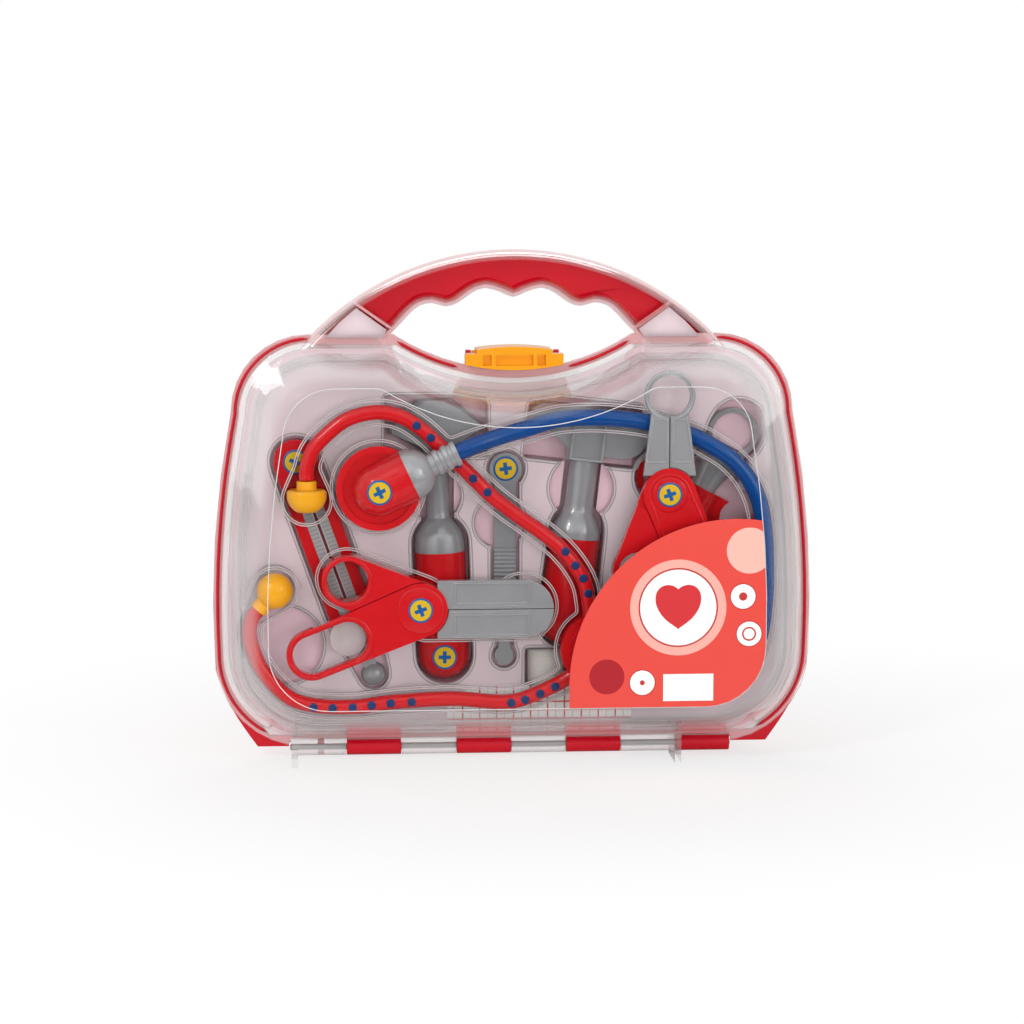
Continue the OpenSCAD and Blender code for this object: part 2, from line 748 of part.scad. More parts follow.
// One jaw with its half of the ring at the end
module forceps_jaw_outline(side) {
    translate(forceps_pivot)
        intersection() {
            difference() {
                union() {
                    polygon([[-jaw_half_from, jaw_from], [jaw_half_from, jaw_from],
                        [jaw_half_to, jaw_to], [-jaw_half_to, jaw_to]]);
                    translate([0, tip_ring_z]) circle(tip_ring_r);
                }
                translate([0, tip_ring_z]) circle(tip_ring_hole_r);
            }
            translate([side > 0 ? jaw_gap : -30, 0]) square([30 - jaw_gap, 70]);
        }
}

module forceps_handle_front() {
    color(red)
    difference() {
        plate(forceps_front, forceps_lap - lap_gap/2) forceps_handle_outline(1);
        pivot_hole(forceps_pivot, rivet_r + fit);
        plate(forceps_front + 1, forceps_lap) forceps_jaw_outline(-1);
    }
}

module forceps_jaw_front() {
    color(silver)
        plate(forceps_front + 1, forceps_lap - lap_gap/2) forceps_jaw_outline(-1);
}

module forceps_handle_rear() {
    color(red)
    difference() {
        union() {
            plate(forceps_lap + lap_gap/2, forceps_back) forceps_handle_outline(-1);
            plate(forceps_back - eps, forceps_pad) difference() {
                translate(forceps_pivot + [-handle_ring.x, handle_ring.y]) circle(handle_ring_r);
                translate(forceps_pivot + [-handle_ring.x, handle_ring.y]) circle(handle_ring_r - 2.6);
            }
            plate(forceps_front, forceps_back) difference() {
                forceps_handle_outline(-1);
                taper(forceps_pivot, forceps_boss_r + turn_gap,
                    forceps_pivot + [handle_ring.x, handle_ring.y], handle_ring_r + turn_gap);
                translate(forceps_pivot + [0, 10]) circle(forceps_boss_r + 8);
            }
        }
        pivot_hole(forceps_pivot, rivet_r);
        plate(-half_depth, forceps_back - 1.5) forceps_jaw_outline(1);
    }
}

module forceps_jaw_rear() {
    color(silver)
    union() {
        plate(forceps_lap + lap_gap/2, forceps_back - 1.5) forceps_jaw_outline(1);
        plate(forceps_front + 1, forceps_lap + lap_gap) difference() {
            forceps_jaw_outline(1);
            translate(forceps_pivot) circle(forceps_boss_r + turn_gap);
        }
    }
}

module forceps_rivet() {
    color(yellow) rivet(forceps_pivot, forceps_front - lap_gap, forceps_back);
}

// ---- rear instruments ----------------------------------------------------------------------

// Depths of the floors of the rear tray's deep and shallow pockets
rear_floor = 20.8;
shallow_floor = 9.4;
thermo_head = [-104.8, 144];
thermo_ball = [-67.8, 39.7];
thermo_back = shallow_floor;
thermo_front = thermo_back - 11.8;
thermo_axis = (thermo_ball - thermo_head)/norm(thermo_ball - thermo_head);
thermo_shoulder = thermo_head + 76*thermo_axis;
thermo_neck = thermo_head + 92*thermo_axis;
thermo_r = 10.8;
thermo_tip_r = 5.9;
module thermometer_outline(grow) {
    slot(thermo_head, thermo_r + grow, thermo_shoulder, thermo_r + grow);
    slot(thermo_shoulder, thermo_r + grow, thermo_ball, thermo_tip_r + grow);
}
module scale_outline() {
    taper(thermo_head + 22*thermo_axis, thermo_r/2, thermo_shoulder, thermo_r/2);
}
module thermometer_body() {
    color(red)
    difference() {
        plate(thermo_front, thermo_back) {
            taper(thermo_head, thermo_r, thermo_shoulder, thermo_r);
            taper(thermo_shoulder, thermo_r, thermo_neck, 3.4);
        }
        plate(thermo_front - 1, thermo_front + 2) scale_outline();
        translate([thermo_ball.x, (thermo_front + thermo_back)/2, thermo_ball.y])
            sphere(thermo_tip_r);
    }
}
module thermometer_scale() {
    color("lightgrey") plate(thermo_front + 0.4, thermo_front + 2) scale_outline();
}
module thermometer_tip() {
    color(silver)
    difference() {
        union() {
            translate([thermo_ball.x, (thermo_front + thermo_back)/2, thermo_ball.y])
                sphere(thermo_tip_r);
            plate(thermo_front + 3, thermo_back - 3) taper(thermo_ball, 3, thermo_ball - 10*thermo_axis, 3);
        }
        plate(thermo_front, thermo_back) {
            taper(thermo_head, thermo_r, thermo_shoulder, thermo_r);
            taper(thermo_shoulder, thermo_r, thermo_neck, 3.4);
        }
    }
}

// A rounded grip of a turned instrument, with its round end at the bottom
module grip(r, top_r, len) {
    sphere(r);
    cylinder(r1 = r, r2 = top_r, h = len);
}

otoscope_x = -33.4;
otoscope_end_z = 48.5;
otoscope_r = 12.4;
otoscope_y = rear_floor - otoscope_r;
otoscope_joint_z = 99;
module otoscope_handle() {
    color(red)
    difference() {
        lean([otoscope_x, otoscope_y, otoscope_end_z], -2)
            grip(otoscope_r, otoscope_r, otoscope_joint_z - otoscope_end_z);
        badge_seat([otoscope_x, otoscope_end_z], otoscope_y - otoscope_r + 0.7);
    }
}
// A flat seat for a badge, with everything in front of it taken away
module badge_seat(place, y) {
    plate(-half_depth, y) translate(place) circle(badge_r + 0.01);
}
module otoscope_head() {
    color(silver)
    lean([otoscope_x, otoscope_y, otoscope_end_z], -2)
        translate([0, 0, otoscope_joint_z - otoscope_end_z]) {
            rotate_extrude()
                polygon([[0, 0], [12.4, 0], [12.4, 4], [11.6, 9], [9, 13.4], [6.2, 16.4], [5.6, 20],
                    [5.6, 40], [6.4, 44], [7.4, 50], [0, 50]]);
            translate([0, 0, 50]) intersection() {
                translate([-23, -9, 0]) cube([46, 18, 24]);
                rotate_extrude() polygon([[0, 0], [8, 0], [23, 9], [23, 12], [9, 24], [0, 24]]);
            }
        }
}

spatula_top = [-3.4, 139.5];
spatula_ball = [-4.2, 48.1];
spatula_back = shallow_floor;
spatula_front = spatula_back - 7;
module spatula_outline(grow) {
    translate(spatula_top) circle(7.9 + grow);
    translate([-3.8 - 5.3 - grow, 84]) square([10.6 + 2*grow, 54]);
    translate([-4 - 2.9 - grow, 48]) square([5.8 + 2*grow, 40]);
    translate(spatula_ball) circle(4.7 + grow);
}
module spatula() {
    color(silver)
    difference() {
        plate(spatula_front, spatula_back) spatula_outline(0);
        for (i = [0:7])
            plate(spatula_front - 1, spatula_front + 0.7)
                translate([-10, 86 + 2*i]) square([12.6, 1]);
        badge_seat(spatula_top, spatula_front + badge_t);
    }
}

hammer_top = [36.6, 157];
hammer_lean = 6.6;
hammer_r = 12.8;
hammer_y = rear_floor - hammer_r;
hammer_end_z = -92.4;
hammer_joint_z = -52;
module hammer_handle() {
    color(red)
    lean([hammer_top.x, hammer_y, hammer_top.y], hammer_lean)
        translate([0, 0, hammer_end_z])
            grip(hammer_r, 12.2, hammer_joint_z - hammer_end_z);
}
module hammer_head() {
    color(silver)
    lean([hammer_top.x, hammer_y, hammer_top.y], hammer_lean) {
        translate([0, 0, hammer_joint_z])
            rotate_extrude()
                polygon([[0, 0], [12.2, 0], [12, 4], [10.4, 8.4], [7.6, 12.6], [7, 16], [7, 40],
                    [0, 40]]);
        plate(-8, 10) {
            translate([-8.6, -14]) square([17.2, 26]);
            polygon([[-28.6, 6], [-28.6, 8.4], [-24, 12], [-8, 12], [-8, -9]]);
            translate([8, -11]) square([10, 23]);
            translate([17.6, 0.5]) circle(11.5);
        }
    }
}

// The syringe: a red body with two finger rings, and a plunger with a thumb ring. Heights are
// along its own axis, from the top of the body
syringe = [93.6, 128.7];
syringe_lean = 28.5;
body_r = 9.6;
syringe_y = rear_floor - body_r;
body_len = 30;
finger_x = 21.4;
finger_z = -5;
finger_r = 11.8;
finger_hole_r = 8.4;
thumb_z = 30.4;
thumb_r = 12.4;
thumb_hole_r = 10;
plunger_travel = 4;
module syringe_place() {
    lean([syringe.x, syringe_y, syringe.y], syringe_lean) children();
}
module syringe_body() {
    color(red)
    syringe_place()
        difference() {
            union() {
                rotate_extrude() polygon([[0, 0], [body_r, 0], [body_r, -body_len], [5, -body_len - 4],
                    [3, -body_len - 14], [1.6, -body_len - 22], [0, -body_len - 22]]);
                plate(-4, 4) difference() {
                    taper([-finger_x, finger_z], finger_r, [finger_x, finger_z], finger_r + eps);
                    for (x = [-finger_x, finger_x]) translate([x, finger_z]) circle(finger_hole_r);
                    translate([-40, 0]) square([80, 20]);
                }
            }
            translate([0, 0, -body_len + 2]) cylinder(r = piston_r + fit, h = body_len);
        }
}
module syringe_plunger() {
    color(silver)
    syringe_place() {
        translate([0, 0, 5 - body_len]) cylinder(r = piston_r, h = body_len);
        translate([0, 0, 0.6]) cylinder(r1 = 6.4, r2 = 9, h = 12);
        translate([-11, -5, 12]) cube([22, 10, 3.4]);
        translate([-3.4, -3, 15]) cube([6.8, 6, thumb_z - thumb_r - 13]);
        plate(-3, 3) difference() {
            translate([0, thumb_z]) circle(thumb_r);
            translate([0, thumb_z]) circle(thumb_hole_r);
        }
    }
}

roll = [16.6, 28.6];
roll_r = 9.2;
roll_y = rear_floor - roll_r;
roll_h = 21.5;
module bandage_roll() {
    color("linen")
        translate([roll.x, roll_y, roll.y])
            difference() {
                cylinder(r = roll_r, h = roll_h);
                translate([0, 0, -1]) cylinder(r = 2.4, h = roll_h + 2);
            }
}

module badges() {
    color(yellow) {
        badge(chest, badge_front);
        badge(thermo_head, thermo_front);
        badge([otoscope_x, otoscope_end_z], otoscope_y - otoscope_r + 0.7);
        badge(spatula_top, spatula_front + badge_t);
    }
}

// ---- trays and card ------------------------------------------------------------------------

// Outline of a band of a half-width h along a flat route
function flat(route) = [for (p = route) [p.x, p.z]];
function band(route, h) = let(n = len(route)) concat(
    [for (i = [0:n - 1]) let(t = route[min(i + 1, n - 1)] - route[max(i - 1, 0)])
        route[i] + h*[t.y, -t.x]/norm(t)],
    [for (i = [n - 1:-1:0]) let(t = route[min(i + 1, n - 1)] - route[max(i - 1, 0)])
        route[i] - h*[t.y, -t.x]/norm(t)]);

module front_pockets(grow) {
    for (route = [upper_arm_route, lower_arm_route])
        polygon(band(smooth(flat(route), 2), arm_r + grow));
    polygon(band(smooth(flat(tube_route), 2), tube_r + grow));
    slot(scissors_pivot, scissors_boss_r + grow, upper_ring, ring_r + grow);
    translate(scissors_pivot + [0, -blade_h - grow]) square([blade_reach - 6, blade_h + 2*grow]);
    translate(scissors_pivot + [blade_reach - blade_h, 0]) circle(blade_h + grow);
    translate(chest) circle(chest_r + grow);
    translate(junction) circle(junction_r + grow);
}

// The pockets of the ear tips and of the tube behind the forceps, which reach further back
tube_dip = [[42, 165.4], [54, 164.4], [64, 162.8], [73, 160.4], [85, 156.6], [93, 152.8]];
module deep_front_pockets(grow) {
    slot(upper_tip - [0, 5], tip_cap_r + grow, upper_tip + [0, 7], tip_neck_r + grow);
    slot(lower_tip, lower_tip_r + grow, flat(lower_arm_route)[0], tip_neck_r + grow);
    for (i = [0:len(tube_dip) - 2])
        slot(tube_dip[i], tube_r + grow, tube_dip[i + 1], tube_r + grow);
}

// Room between the clear wall's inner face and the border of the front tray
tray_room = 0.6;
tray_inset = wall_inset(-front_land) + wall + tray_room;
rear_tray_inset = 4 + wall + 0.3;
border_h = 3;
border_inset = tray_inset + 2;
card_left = -32;
card_right = 58;
card_foot = 11.4;
card_top = 33;
deep_floor = -4.6;
module front_tray() {
    color(clear)
    difference() {
        union() {
            plate(front_land, rear_land) polygon(body_outline(tray_inset, false));
            plate(front_land - border_h, front_land) polygon(body_outline(border_inset, false));
        }
        // the room behind the land, apart from the pockets
        difference() {
            plate(front_land + sheet, rear_land + 1) polygon(body_outline(tray_inset + sheet, false));
            plate(front_land, front_floor + sheet) front_pockets(pocket_room + sheet);
            plate(front_land, deep_floor + sheet) deep_front_pockets(pocket_room + sheet);
        }
        plate(front_land - border_h - 1, front_land)
            polygon(body_outline(border_inset + sheet, false));
        plate(front_land - 1, front_floor) front_pockets(pocket_room);
        plate(front_land - 1, deep_floor) deep_front_pockets(pocket_room);
        // the slot that the chart card stands in
        plate(rear_land - 1.2, rear_land + 1)
            translate([card_left - 2, 0]) square([card_right - card_left + 4, 60]);
    }
}

finger_hollows = [[33.4, 129.8, 15.6], [-6.2, 113.2, 12.4], [-37.6, 126.4, 12.6], [-111, 54.4, 19]];
module rear_pockets(grow) {
    slot([otoscope_x + 0.2, otoscope_end_z], otoscope_r + grow, [otoscope_x - 1.8, 104], otoscope_r + grow);
    translate([otoscope_x - 3 - 6.6 - grow, 100]) square([13.2 + 2*grow, 60]);
    translate([otoscope_x - 3.6 - 23.4 - grow, 147 - grow]) square([46.8 + 2*grow, 27 + 2*grow]);
    lean_flat(hammer_top, hammer_lean) {
        slot([0, hammer_end_z], hammer_r + grow, [0, hammer_joint_z + 4], 12.2 + grow);
        translate([-7.4 - grow, hammer_joint_z]) square([14.8 + 2*grow, 50]);
        translate([-28.6 - grow, -14 - grow]) square([52 + 2*grow, 28 + 2*grow]);
        translate([17.6, 0.5]) circle(12.5 + grow);
    }
    lean_flat(syringe, syringe_lean) {
        slot([-finger_x, finger_z], finger_r + grow, [finger_x, finger_z], finger_r + grow);
        translate([-11.4 - grow, -body_len - 2]) square([22.8 + 2*grow, body_len + 26]);
        slot([0, -body_len], 6 + grow, [0, -body_len - 22], 3 + grow);
    }
    translate([roll.x - roll_r - grow, roll.y - grow]) square([2*(roll_r + grow), roll_h + 2*grow]);
}
module lean_flat(place, angle) {
    translate(place) rotate(-angle) children();
}
module shallow_pockets(grow) {
    thermometer_outline(grow);
    spatula_outline(grow);
    for (h = finger_hollows) translate([h[0], h[1]]) circle(h[2] - 1.6 + grow);
}

// The thumb ring's pocket lies near the corner, so it is shallower and reaches further out
thumb_floor = syringe_y + 5;
thumb_inset = wall_inset(thumb_floor + sheet) + wall + tray_room;
module thumb_pocket(grow, inset) {
    intersection() {
        lean_flat(syringe, syringe_lean)
            slot([0, thumb_z], thumb_r + grow, [0, thumb_z + plunger_travel], thumb_r + grow);
        polygon(body_outline(inset, true));
    }
}

module rear_tray() {
    color([0.8, 0.72, 0.74])
    difference() {
        union() {
            plate(rear_land, rear_land + sheet) polygon(body_outline(rear_tray_inset, true));
            plate(rear_land, rear_floor + sheet) intersection() {
                rear_pockets(pocket_room + sheet);
                polygon(body_outline(16, true));
            }
            plate(rear_land, shallow_floor + sheet) shallow_pockets(pocket_room + sheet);
            plate(rear_land, thumb_floor + sheet) thumb_pocket(pocket_room + sheet, thumb_inset);
        }
        plate(rear_land - 1, rear_floor) intersection() {
            rear_pockets(pocket_room);
            polygon(body_outline(16 + sheet, true));
        }
        plate(rear_land - 1, shallow_floor) shallow_pockets(pocket_room);
        plate(rear_land - 1, thumb_floor) thumb_pocket(pocket_room, thumb_inset + sheet);
    }
}

module chart_card() {
    color("white")
        plate(rear_land - 0.9, rear_land)
            polygon([[card_left, card_foot], [card_right, card_foot], [card_right, card_top],
                [card_left + 12, card_top], [card_left, card_top - 9]]);
}

back_shell();
front_cover();
hinge_pin();
latch();
latch_pin();
rear_tray();
front_tray();
label();
chart_card();
headset_upper_arm();
headset_lower_arm();
arm_studs();
headset_junction();
ear_tip_upper();
ear_tip_lower();
tube();
chest_piece();
chest_neck();
badges();
scissors_handle_front();
scissors_blade_front();
scissors_handle_rear();
scissors_blade_rear();
scissors_rivet();
forceps_handle_front();
forceps_jaw_front();
forceps_handle_rear();
forceps_jaw_rear();
forceps_rivet();
thermometer_body();
thermometer_scale();
thermometer_tip();
otoscope_head();
otoscope_handle();
spatula();
hammer_head();
hammer_handle();
syringe_body();
syringe_plunger();
bandage_roll();
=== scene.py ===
# %% [markdown]
# # A toy doctor case with a clear front
#
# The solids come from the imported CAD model, already in place and in metres. This script gives
# them their finishes, adds the small forms that a solid model leaves out, and sets up the
# camera and the lights. Run it from top to bottom.

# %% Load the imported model
import math

import bmesh
import bpy
import numpy as np
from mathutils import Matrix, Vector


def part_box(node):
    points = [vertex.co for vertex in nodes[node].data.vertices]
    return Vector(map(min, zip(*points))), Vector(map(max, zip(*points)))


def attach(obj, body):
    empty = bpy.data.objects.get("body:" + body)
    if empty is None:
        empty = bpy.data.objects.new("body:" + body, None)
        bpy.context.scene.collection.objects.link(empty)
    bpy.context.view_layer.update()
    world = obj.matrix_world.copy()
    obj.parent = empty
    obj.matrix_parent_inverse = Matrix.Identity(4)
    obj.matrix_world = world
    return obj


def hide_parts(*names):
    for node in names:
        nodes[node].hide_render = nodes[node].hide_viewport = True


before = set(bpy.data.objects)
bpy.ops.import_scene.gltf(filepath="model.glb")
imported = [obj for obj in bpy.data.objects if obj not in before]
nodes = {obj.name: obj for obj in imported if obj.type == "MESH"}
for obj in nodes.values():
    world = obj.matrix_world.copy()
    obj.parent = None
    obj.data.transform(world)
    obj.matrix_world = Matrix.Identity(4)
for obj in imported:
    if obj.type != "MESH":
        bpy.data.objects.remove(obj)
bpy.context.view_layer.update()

render_levels = 2
mm = 0.001

# %% [markdown]
# ## Helpers for materials
#
# A colour is written as its sRGB hex value, as a paint chart gives it, but a shader wants
# linear light, so one function turns the one into the other. Another adds any node, with its
# settings and its links, and two more add the commonest ones, which reckon a number and blend two
# colours, so that a whole material reads as a short list.


# %% Colour and node helpers
def linear(hex_colour):
    """Each channel over 255, then the sRGB curve: v/12.92 near black, ((v+0.055)/1.055)^2.4 above."""
    channels = np.array([int(hex_colour[i : i + 2], 16) for i in (0, 2, 4)]) / 255
    curved = np.where(channels <= 0.04045, channels / 12.92, ((channels + 0.055) / 1.055) ** 2.4)
    return (*curved.tolist(), 1.0)


def add(tree, kind, settings=None, **inputs):
    """Adds one node. A setting is an attribute; an input is a value, or a socket to link."""
    node = tree.nodes.new(kind)
    for name, value in (settings or {}).items():
        setattr(node, name, value)
    for name, value in inputs.items():
        socket = node.inputs[int(name[1:])] if name[1:].isdigit() else node.inputs[name.replace("_", " ")]
        if isinstance(value, bpy.types.NodeSocket):
            tree.links.new(value, socket)
        else:
            socket.default_value = value
    return node


def reckon(tree, operation, *values):
    """One sum on numbers, such as ADD or LESS_THAN. Each value is a number or a socket."""
    inputs = {f"_{index}": value for index, value in enumerate(values)}
    return add(tree, "ShaderNodeMath", {"operation": operation}, **inputs).outputs[0]


def blend(tree, share, *colours):
    """The first colour turns to the second as the share rises. Each is a hex value or a socket."""
    one, other = (linear(colour) if isinstance(colour, str) else colour for colour in colours)
    return add(tree, "ShaderNodeMix", {"data_type": "RGBA"}, _0=share, _6=one, _7=other).outputs[2]


def new_material(name):
    """An empty material, its node tree and the coordinates of the piece that wears it."""
    made = bpy.data.materials.new(name)
    made.use_nodes = True
    tree = made.node_tree
    tree.nodes.clear()
    place = add(tree, "ShaderNodeTexCoord").outputs["Object"]
    return made, tree, place


def wear(made, tree, shader):
    """Ends a material with its shader."""
    tree.links.new(shader.outputs[0], add(tree, "ShaderNodeOutputMaterial").inputs[0])
    return made


def per(size_mm):
    """A texture's scale for a feature of this size in millimetres: features per metre."""
    return 1 / (size_mm * mm)


# %% [markdown]
# ## Moulded plastics
#
# Nearly every piece is injection moulded. The melt leaves a faint long waviness where it
# flowed and cooled, and polished steel leaves a finer orange peel on top. Gloss then varies a
# little with handling. So each plastic is one colour with two depths of bump and a soft drift
# of roughness, and the silver one has metal flakes in it too.


# %% Moulded plastic
def moulded_plastic(name, colour, shade, roughness, flow_mm=14.0, peel_mm=0.9):
    """Colour drifts to its shade over flow_mm, and the peel is 8 thousandths of a mm deep."""
    made, tree, place = new_material(name)
    drift = add(tree, "ShaderNodeTexNoise", Vector=place, Scale=per(flow_mm), Detail=3.0).outputs["Fac"]
    peel = add(tree, "ShaderNodeTexNoise", Vector=place, Scale=per(peel_mm), Detail=1.0).outputs["Fac"]
    waves = add(tree, "ShaderNodeBump", Height=drift, Distance=0.25 * mm)
    skin = add(
        tree,
        "ShaderNodeBsdfPrincipled",
        Base_Color=blend(tree, drift, colour, shade),
        Roughness=add(
            tree, "ShaderNodeMapRange", Value=drift, To_Min=roughness * 0.8, To_Max=roughness * 1.25
        ).outputs[0],
        Normal=add(
            tree, "ShaderNodeBump", Height=peel, Distance=0.008 * mm, Normal=waves.outputs[0]
        ).outputs[0],
        IOR=1.49,
    )
    return wear(made, tree, skin)


red_shell = moulded_plastic("moulded_polypropylene_red", "D20A24", "C2041C", 0.30)
red_abs = moulded_plastic("moulded_abs_red", "D81B23", "C81219", 0.16, 8.0, 0.7)
yellow_abs = moulded_plastic("moulded_abs_yellow", "F9A600", "EE9A00", 0.28, 9.0)
yellow_vinyl = moulded_plastic("soft_vinyl_yellow", "F9B31A", "EFA312", 0.22, 6.0)
blue_vinyl = moulded_plastic("extruded_vinyl_blue", "00488F", "003F80", 0.2, 10.0)
navy_plug = moulded_plastic("moulded_abs_navy", "16386E", "102C5C", 0.35, 5.0)


# %% Silver plastic and steel
def flaked_plastic(name, colour, shade, roughness, metal, flake_mm, drift_mm):
    """A fine cell pattern turns small facets to the light, like flakes in the melt."""
    made, tree, place = new_material(name)
    flakes = add(tree, "ShaderNodeTexVoronoi", Vector=place, Scale=per(flake_mm)).outputs["Distance"]
    drift = add(tree, "ShaderNodeTexNoise", Vector=place, Scale=per(drift_mm), Detail=3.0).outputs["Fac"]
    waves = add(tree, "ShaderNodeBump", Height=drift, Distance=0.2 * mm)
    skin = add(
        tree,
        "ShaderNodeBsdfPrincipled",
        Base_Color=blend(tree, drift, colour, shade),
        Roughness=add(
            tree, "ShaderNodeMapRange", Value=flakes, To_Min=roughness * 0.85, To_Max=roughness * 1.3
        ).outputs[0],
        Normal=add(
            tree, "ShaderNodeBump", Height=flakes, Distance=0.01 * mm, Normal=waves.outputs[0]
        ).outputs[0],
        Metallic=metal,
    )
    return wear(made, tree, skin)


silver_abs = flaked_plastic("moulded_abs_silver", "B4B5B7", "A2A3A6", 0.2, 0.35, 0.35, 12.0)
steel_rod = flaked_plastic("drawn_steel", "B9B8B4", "A3A19C", 0.28, 1.0, 0.2, 6.0)


# %% [markdown]
# ## Clear plastic
#
# The cover is polystyrene, poured clear and polished. Square on, it shows almost nothing but
# the things behind it. Along its slanting walls the light passes a longer way through the
# plastic, and more of the studio is mirrored in it, so they look like pale grey glass. So three
# things are mixed by the angle of the surface: a window, a faint milky skin and a mirror. The
# flat rim is a thick edge seen end on, where light that is caught in the sheet comes out again,
# so a band beside the parting plane is milkier, and so are the feet. A clear sheet takes only a
# few per cent of the light that falls through it, so light on its way to the inside passes the
# milky skin and the mirror almost untouched. The frosted tray is drawn thinner in its pockets,
# where more of the red shell tints it, and the pockets are also painted brighter, as painted
# light that lifts the shade in them.


# %% Clear and frosted sheets
milky_bands = (("Y", -2.1, -1.9), ("Z", 4.4, 4.2))
square_on_mirror = 0.006


def clear_plastic(
    name, tint, veil, least, most, mirror, roughness=0.03, wave_mm=30.0, rim_share=0.0, passed=0.06
):
    """The milky share is least + (most - least) * facing^2, or the rim's share where that is
    more. The mirror's share rises from 0.6 per cent square on with facing^2.5."""
    made, tree, place = new_material(name)
    drift = add(tree, "ShaderNodeTexNoise", Vector=place, Scale=per(wave_mm), Detail=2.0).outputs["Fac"]
    waves = add(tree, "ShaderNodeBump", Height=drift, Distance=0.5 * mm).outputs[0]
    facing = add(tree, "ShaderNodeLayerWeight", Blend=0.5, Normal=waves).outputs["Facing"]
    soft = reckon(tree, "POWER", facing, 2.0)
    sharp = reckon(tree, "POWER", facing, 2.5)
    share = add(tree, "ShaderNodeMapRange", Value=soft, To_Min=least, To_Max=most).outputs[0]
    if rim_share:
        axes = add(tree, "ShaderNodeSeparateXYZ", Vector=place)
        for axis, low, high in milky_bands:
            milky = add(
                tree, "ShaderNodeMapRange", Value=axes.outputs[axis], From_Min=low * mm, From_Max=high * mm,
                To_Max=rim_share,
            ).outputs[0]
            share = reckon(tree, "MAXIMUM", share, milky)
    skin = add(
        tree,
        "ShaderNodeBsdfPrincipled",
        Base_Color=linear(veil),
        Roughness=0.5,
        Specular_IOR_Level=0.0,
        Normal=waves,
    )
    window = add(tree, "ShaderNodeBsdfTransparent", Color=linear(tint))
    gloss = add(tree, "ShaderNodeBsdfGlossy", Color=linear("FFFFFF"), Roughness=roughness, Normal=waves)
    bright = add(tree, "ShaderNodeMapRange", Value=sharp, To_Min=square_on_mirror, To_Max=mirror).outputs[0]
    path = add(tree, "ShaderNodeLightPath").outputs
    passing = reckon(tree, "MAXIMUM", path["Is Shadow Ray"], path["Is Diffuse Ray"])
    held = add(tree, "ShaderNodeMapRange", Value=passing, To_Min=1.0, To_Max=passed).outputs[0]
    share = reckon(tree, "MULTIPLY", share, held)
    bright = reckon(tree, "MULTIPLY", bright, held)
    body = add(tree, "ShaderNodeMixShader", _0=share, _1=window.outputs[0], _2=skin.outputs[0])
    whole = add(tree, "ShaderNodeMixShader", _0=bright, _1=body.outputs[0], _2=gloss.outputs[0])
    return wear(made, tree, whole)


clear_polystyrene = clear_plastic(
    "polished_polystyrene_clear", "FEFEFE", "F8F4F4", 0.0, 0.14, 0.7, 0.06, rim_share=0.4
)
clear_pvc = clear_plastic("formed_pvc_clear", "FEFEFE", "FFF8F8", 0.0, 0.3, 0.6, 0.06, 18.0)
# The beads' skin is mostly milky white, a painted glint along the edges of the cover that they follow.
bead_with_painted_glint = clear_plastic("polystyrene_bead_painted_glint", "FFFFFF", "FFFFFF", 0.5, 0.8, 0.5, 0.04)
# The lips' milky white share is a painted glint along the lips of the formed sheet, and the disc behind the
# scissors' loop wears it too.
lip_pvc_with_painted_glint = clear_plastic("formed_pvc_lip", "FAF6F6", "FFF6F7", 0.4, 0.85, 0.4, 0.12, 18.0)
frosted_pvc = clear_plastic(
    "formed_pvc_frosted", "FFF0F2", "EFDBE0", 0.88, 0.95, 0.08, 0.25, 18.0, passed=0.7
)

# %% Thinner sheet and painted light in the pockets
# The pocket colour is pinker, where the thinner sheet shows more of the red shell, and also brighter: painted
# light that lifts the shade in the deep pockets.
land_colour, pocket_tint_and_painted_light = "EFDBE0", "FFDBE5"
land_depth, pocket_depth = 2.3, 5.0
tree = frosted_pvc.node_tree
place = next(node for node in tree.nodes if node.type == "TEX_COORD").outputs["Object"]
depth = add(tree, "ShaderNodeSeparateXYZ", Vector=place).outputs["Y"]
# This share runs from the land to the pocket floor and carries both the pink tint and the painted light.
drawn = add(
    tree, "ShaderNodeMapRange", Value=depth, From_Min=land_depth * mm, From_Max=pocket_depth * mm
).outputs[0]
thinned_and_painted_light = blend(tree, drawn, land_colour, pocket_tint_and_painted_light)
skin = next(node for node in tree.nodes if node.type == "BSDF_PRINCIPLED")
tree.links.new(thinned_and_painted_light, skin.inputs["Base Color"])

# %% [markdown]
# ## Printed pieces
#
# The label is a film printed in flat coral with discs. Each disc is every point nearer to its
# centre than its radius, so a short list of places, sizes and inks makes the whole print. A
# blank white tab stands at its foot. The heart in the large disc is the set where
# (x^2 + z^2 - 1)^3 is less than x^2 z^3.

# %% Label print
label_discs = [
    (110.0, 104.0, 11.0, "F9BFB0"), (76.0, 77.0, 23.0, "F7B3A6"), (76.0, 77.0, 19.0, "C73A35"),
    (76.0, 77.0, 18.2, "FFFFFF"), (42.0, 44.0, 8.4, "B3202A"), (107.0, 82.0, 6.3, "B3202A"),
    (107.0, 82.0, 5.9, "FFFFFF"), (107.0, 82.0, 2.0, "C73A35"), (110.0, 64.0, 6.3, "B3202A"),
    (110.0, 64.0, 5.9, "FFFFFF"), (110.0, 64.0, 3.4, "C73A35"), (110.0, 64.0, 2.6, "FFFFFF"),
    (59.0, 41.0, 6.3, "B3202A"), (59.0, 41.0, 5.9, "FFFFFF"), (59.0, 41.0, 1.2, "C73A35"),
]
tab_place, tab_half, tab_ink = (81.0, 0, 38.5), (12.0, 6.5), "FFFFFF"
heart_place, heart_size = (76.0, 0, 76.0), 9.6
label_print, tree, place = new_material("printed_film_coral")
flat = add(tree, "ShaderNodeVectorMath", {"operation": "MULTIPLY"}, _0=place, _1=(1, 0, 1)).outputs[0]
grain = add(tree, "ShaderNodeTexNoise", Vector=place, Scale=per(0.5), Detail=2.0).outputs["Fac"]
ink = blend(tree, grain, "EC5146", "E84A40")
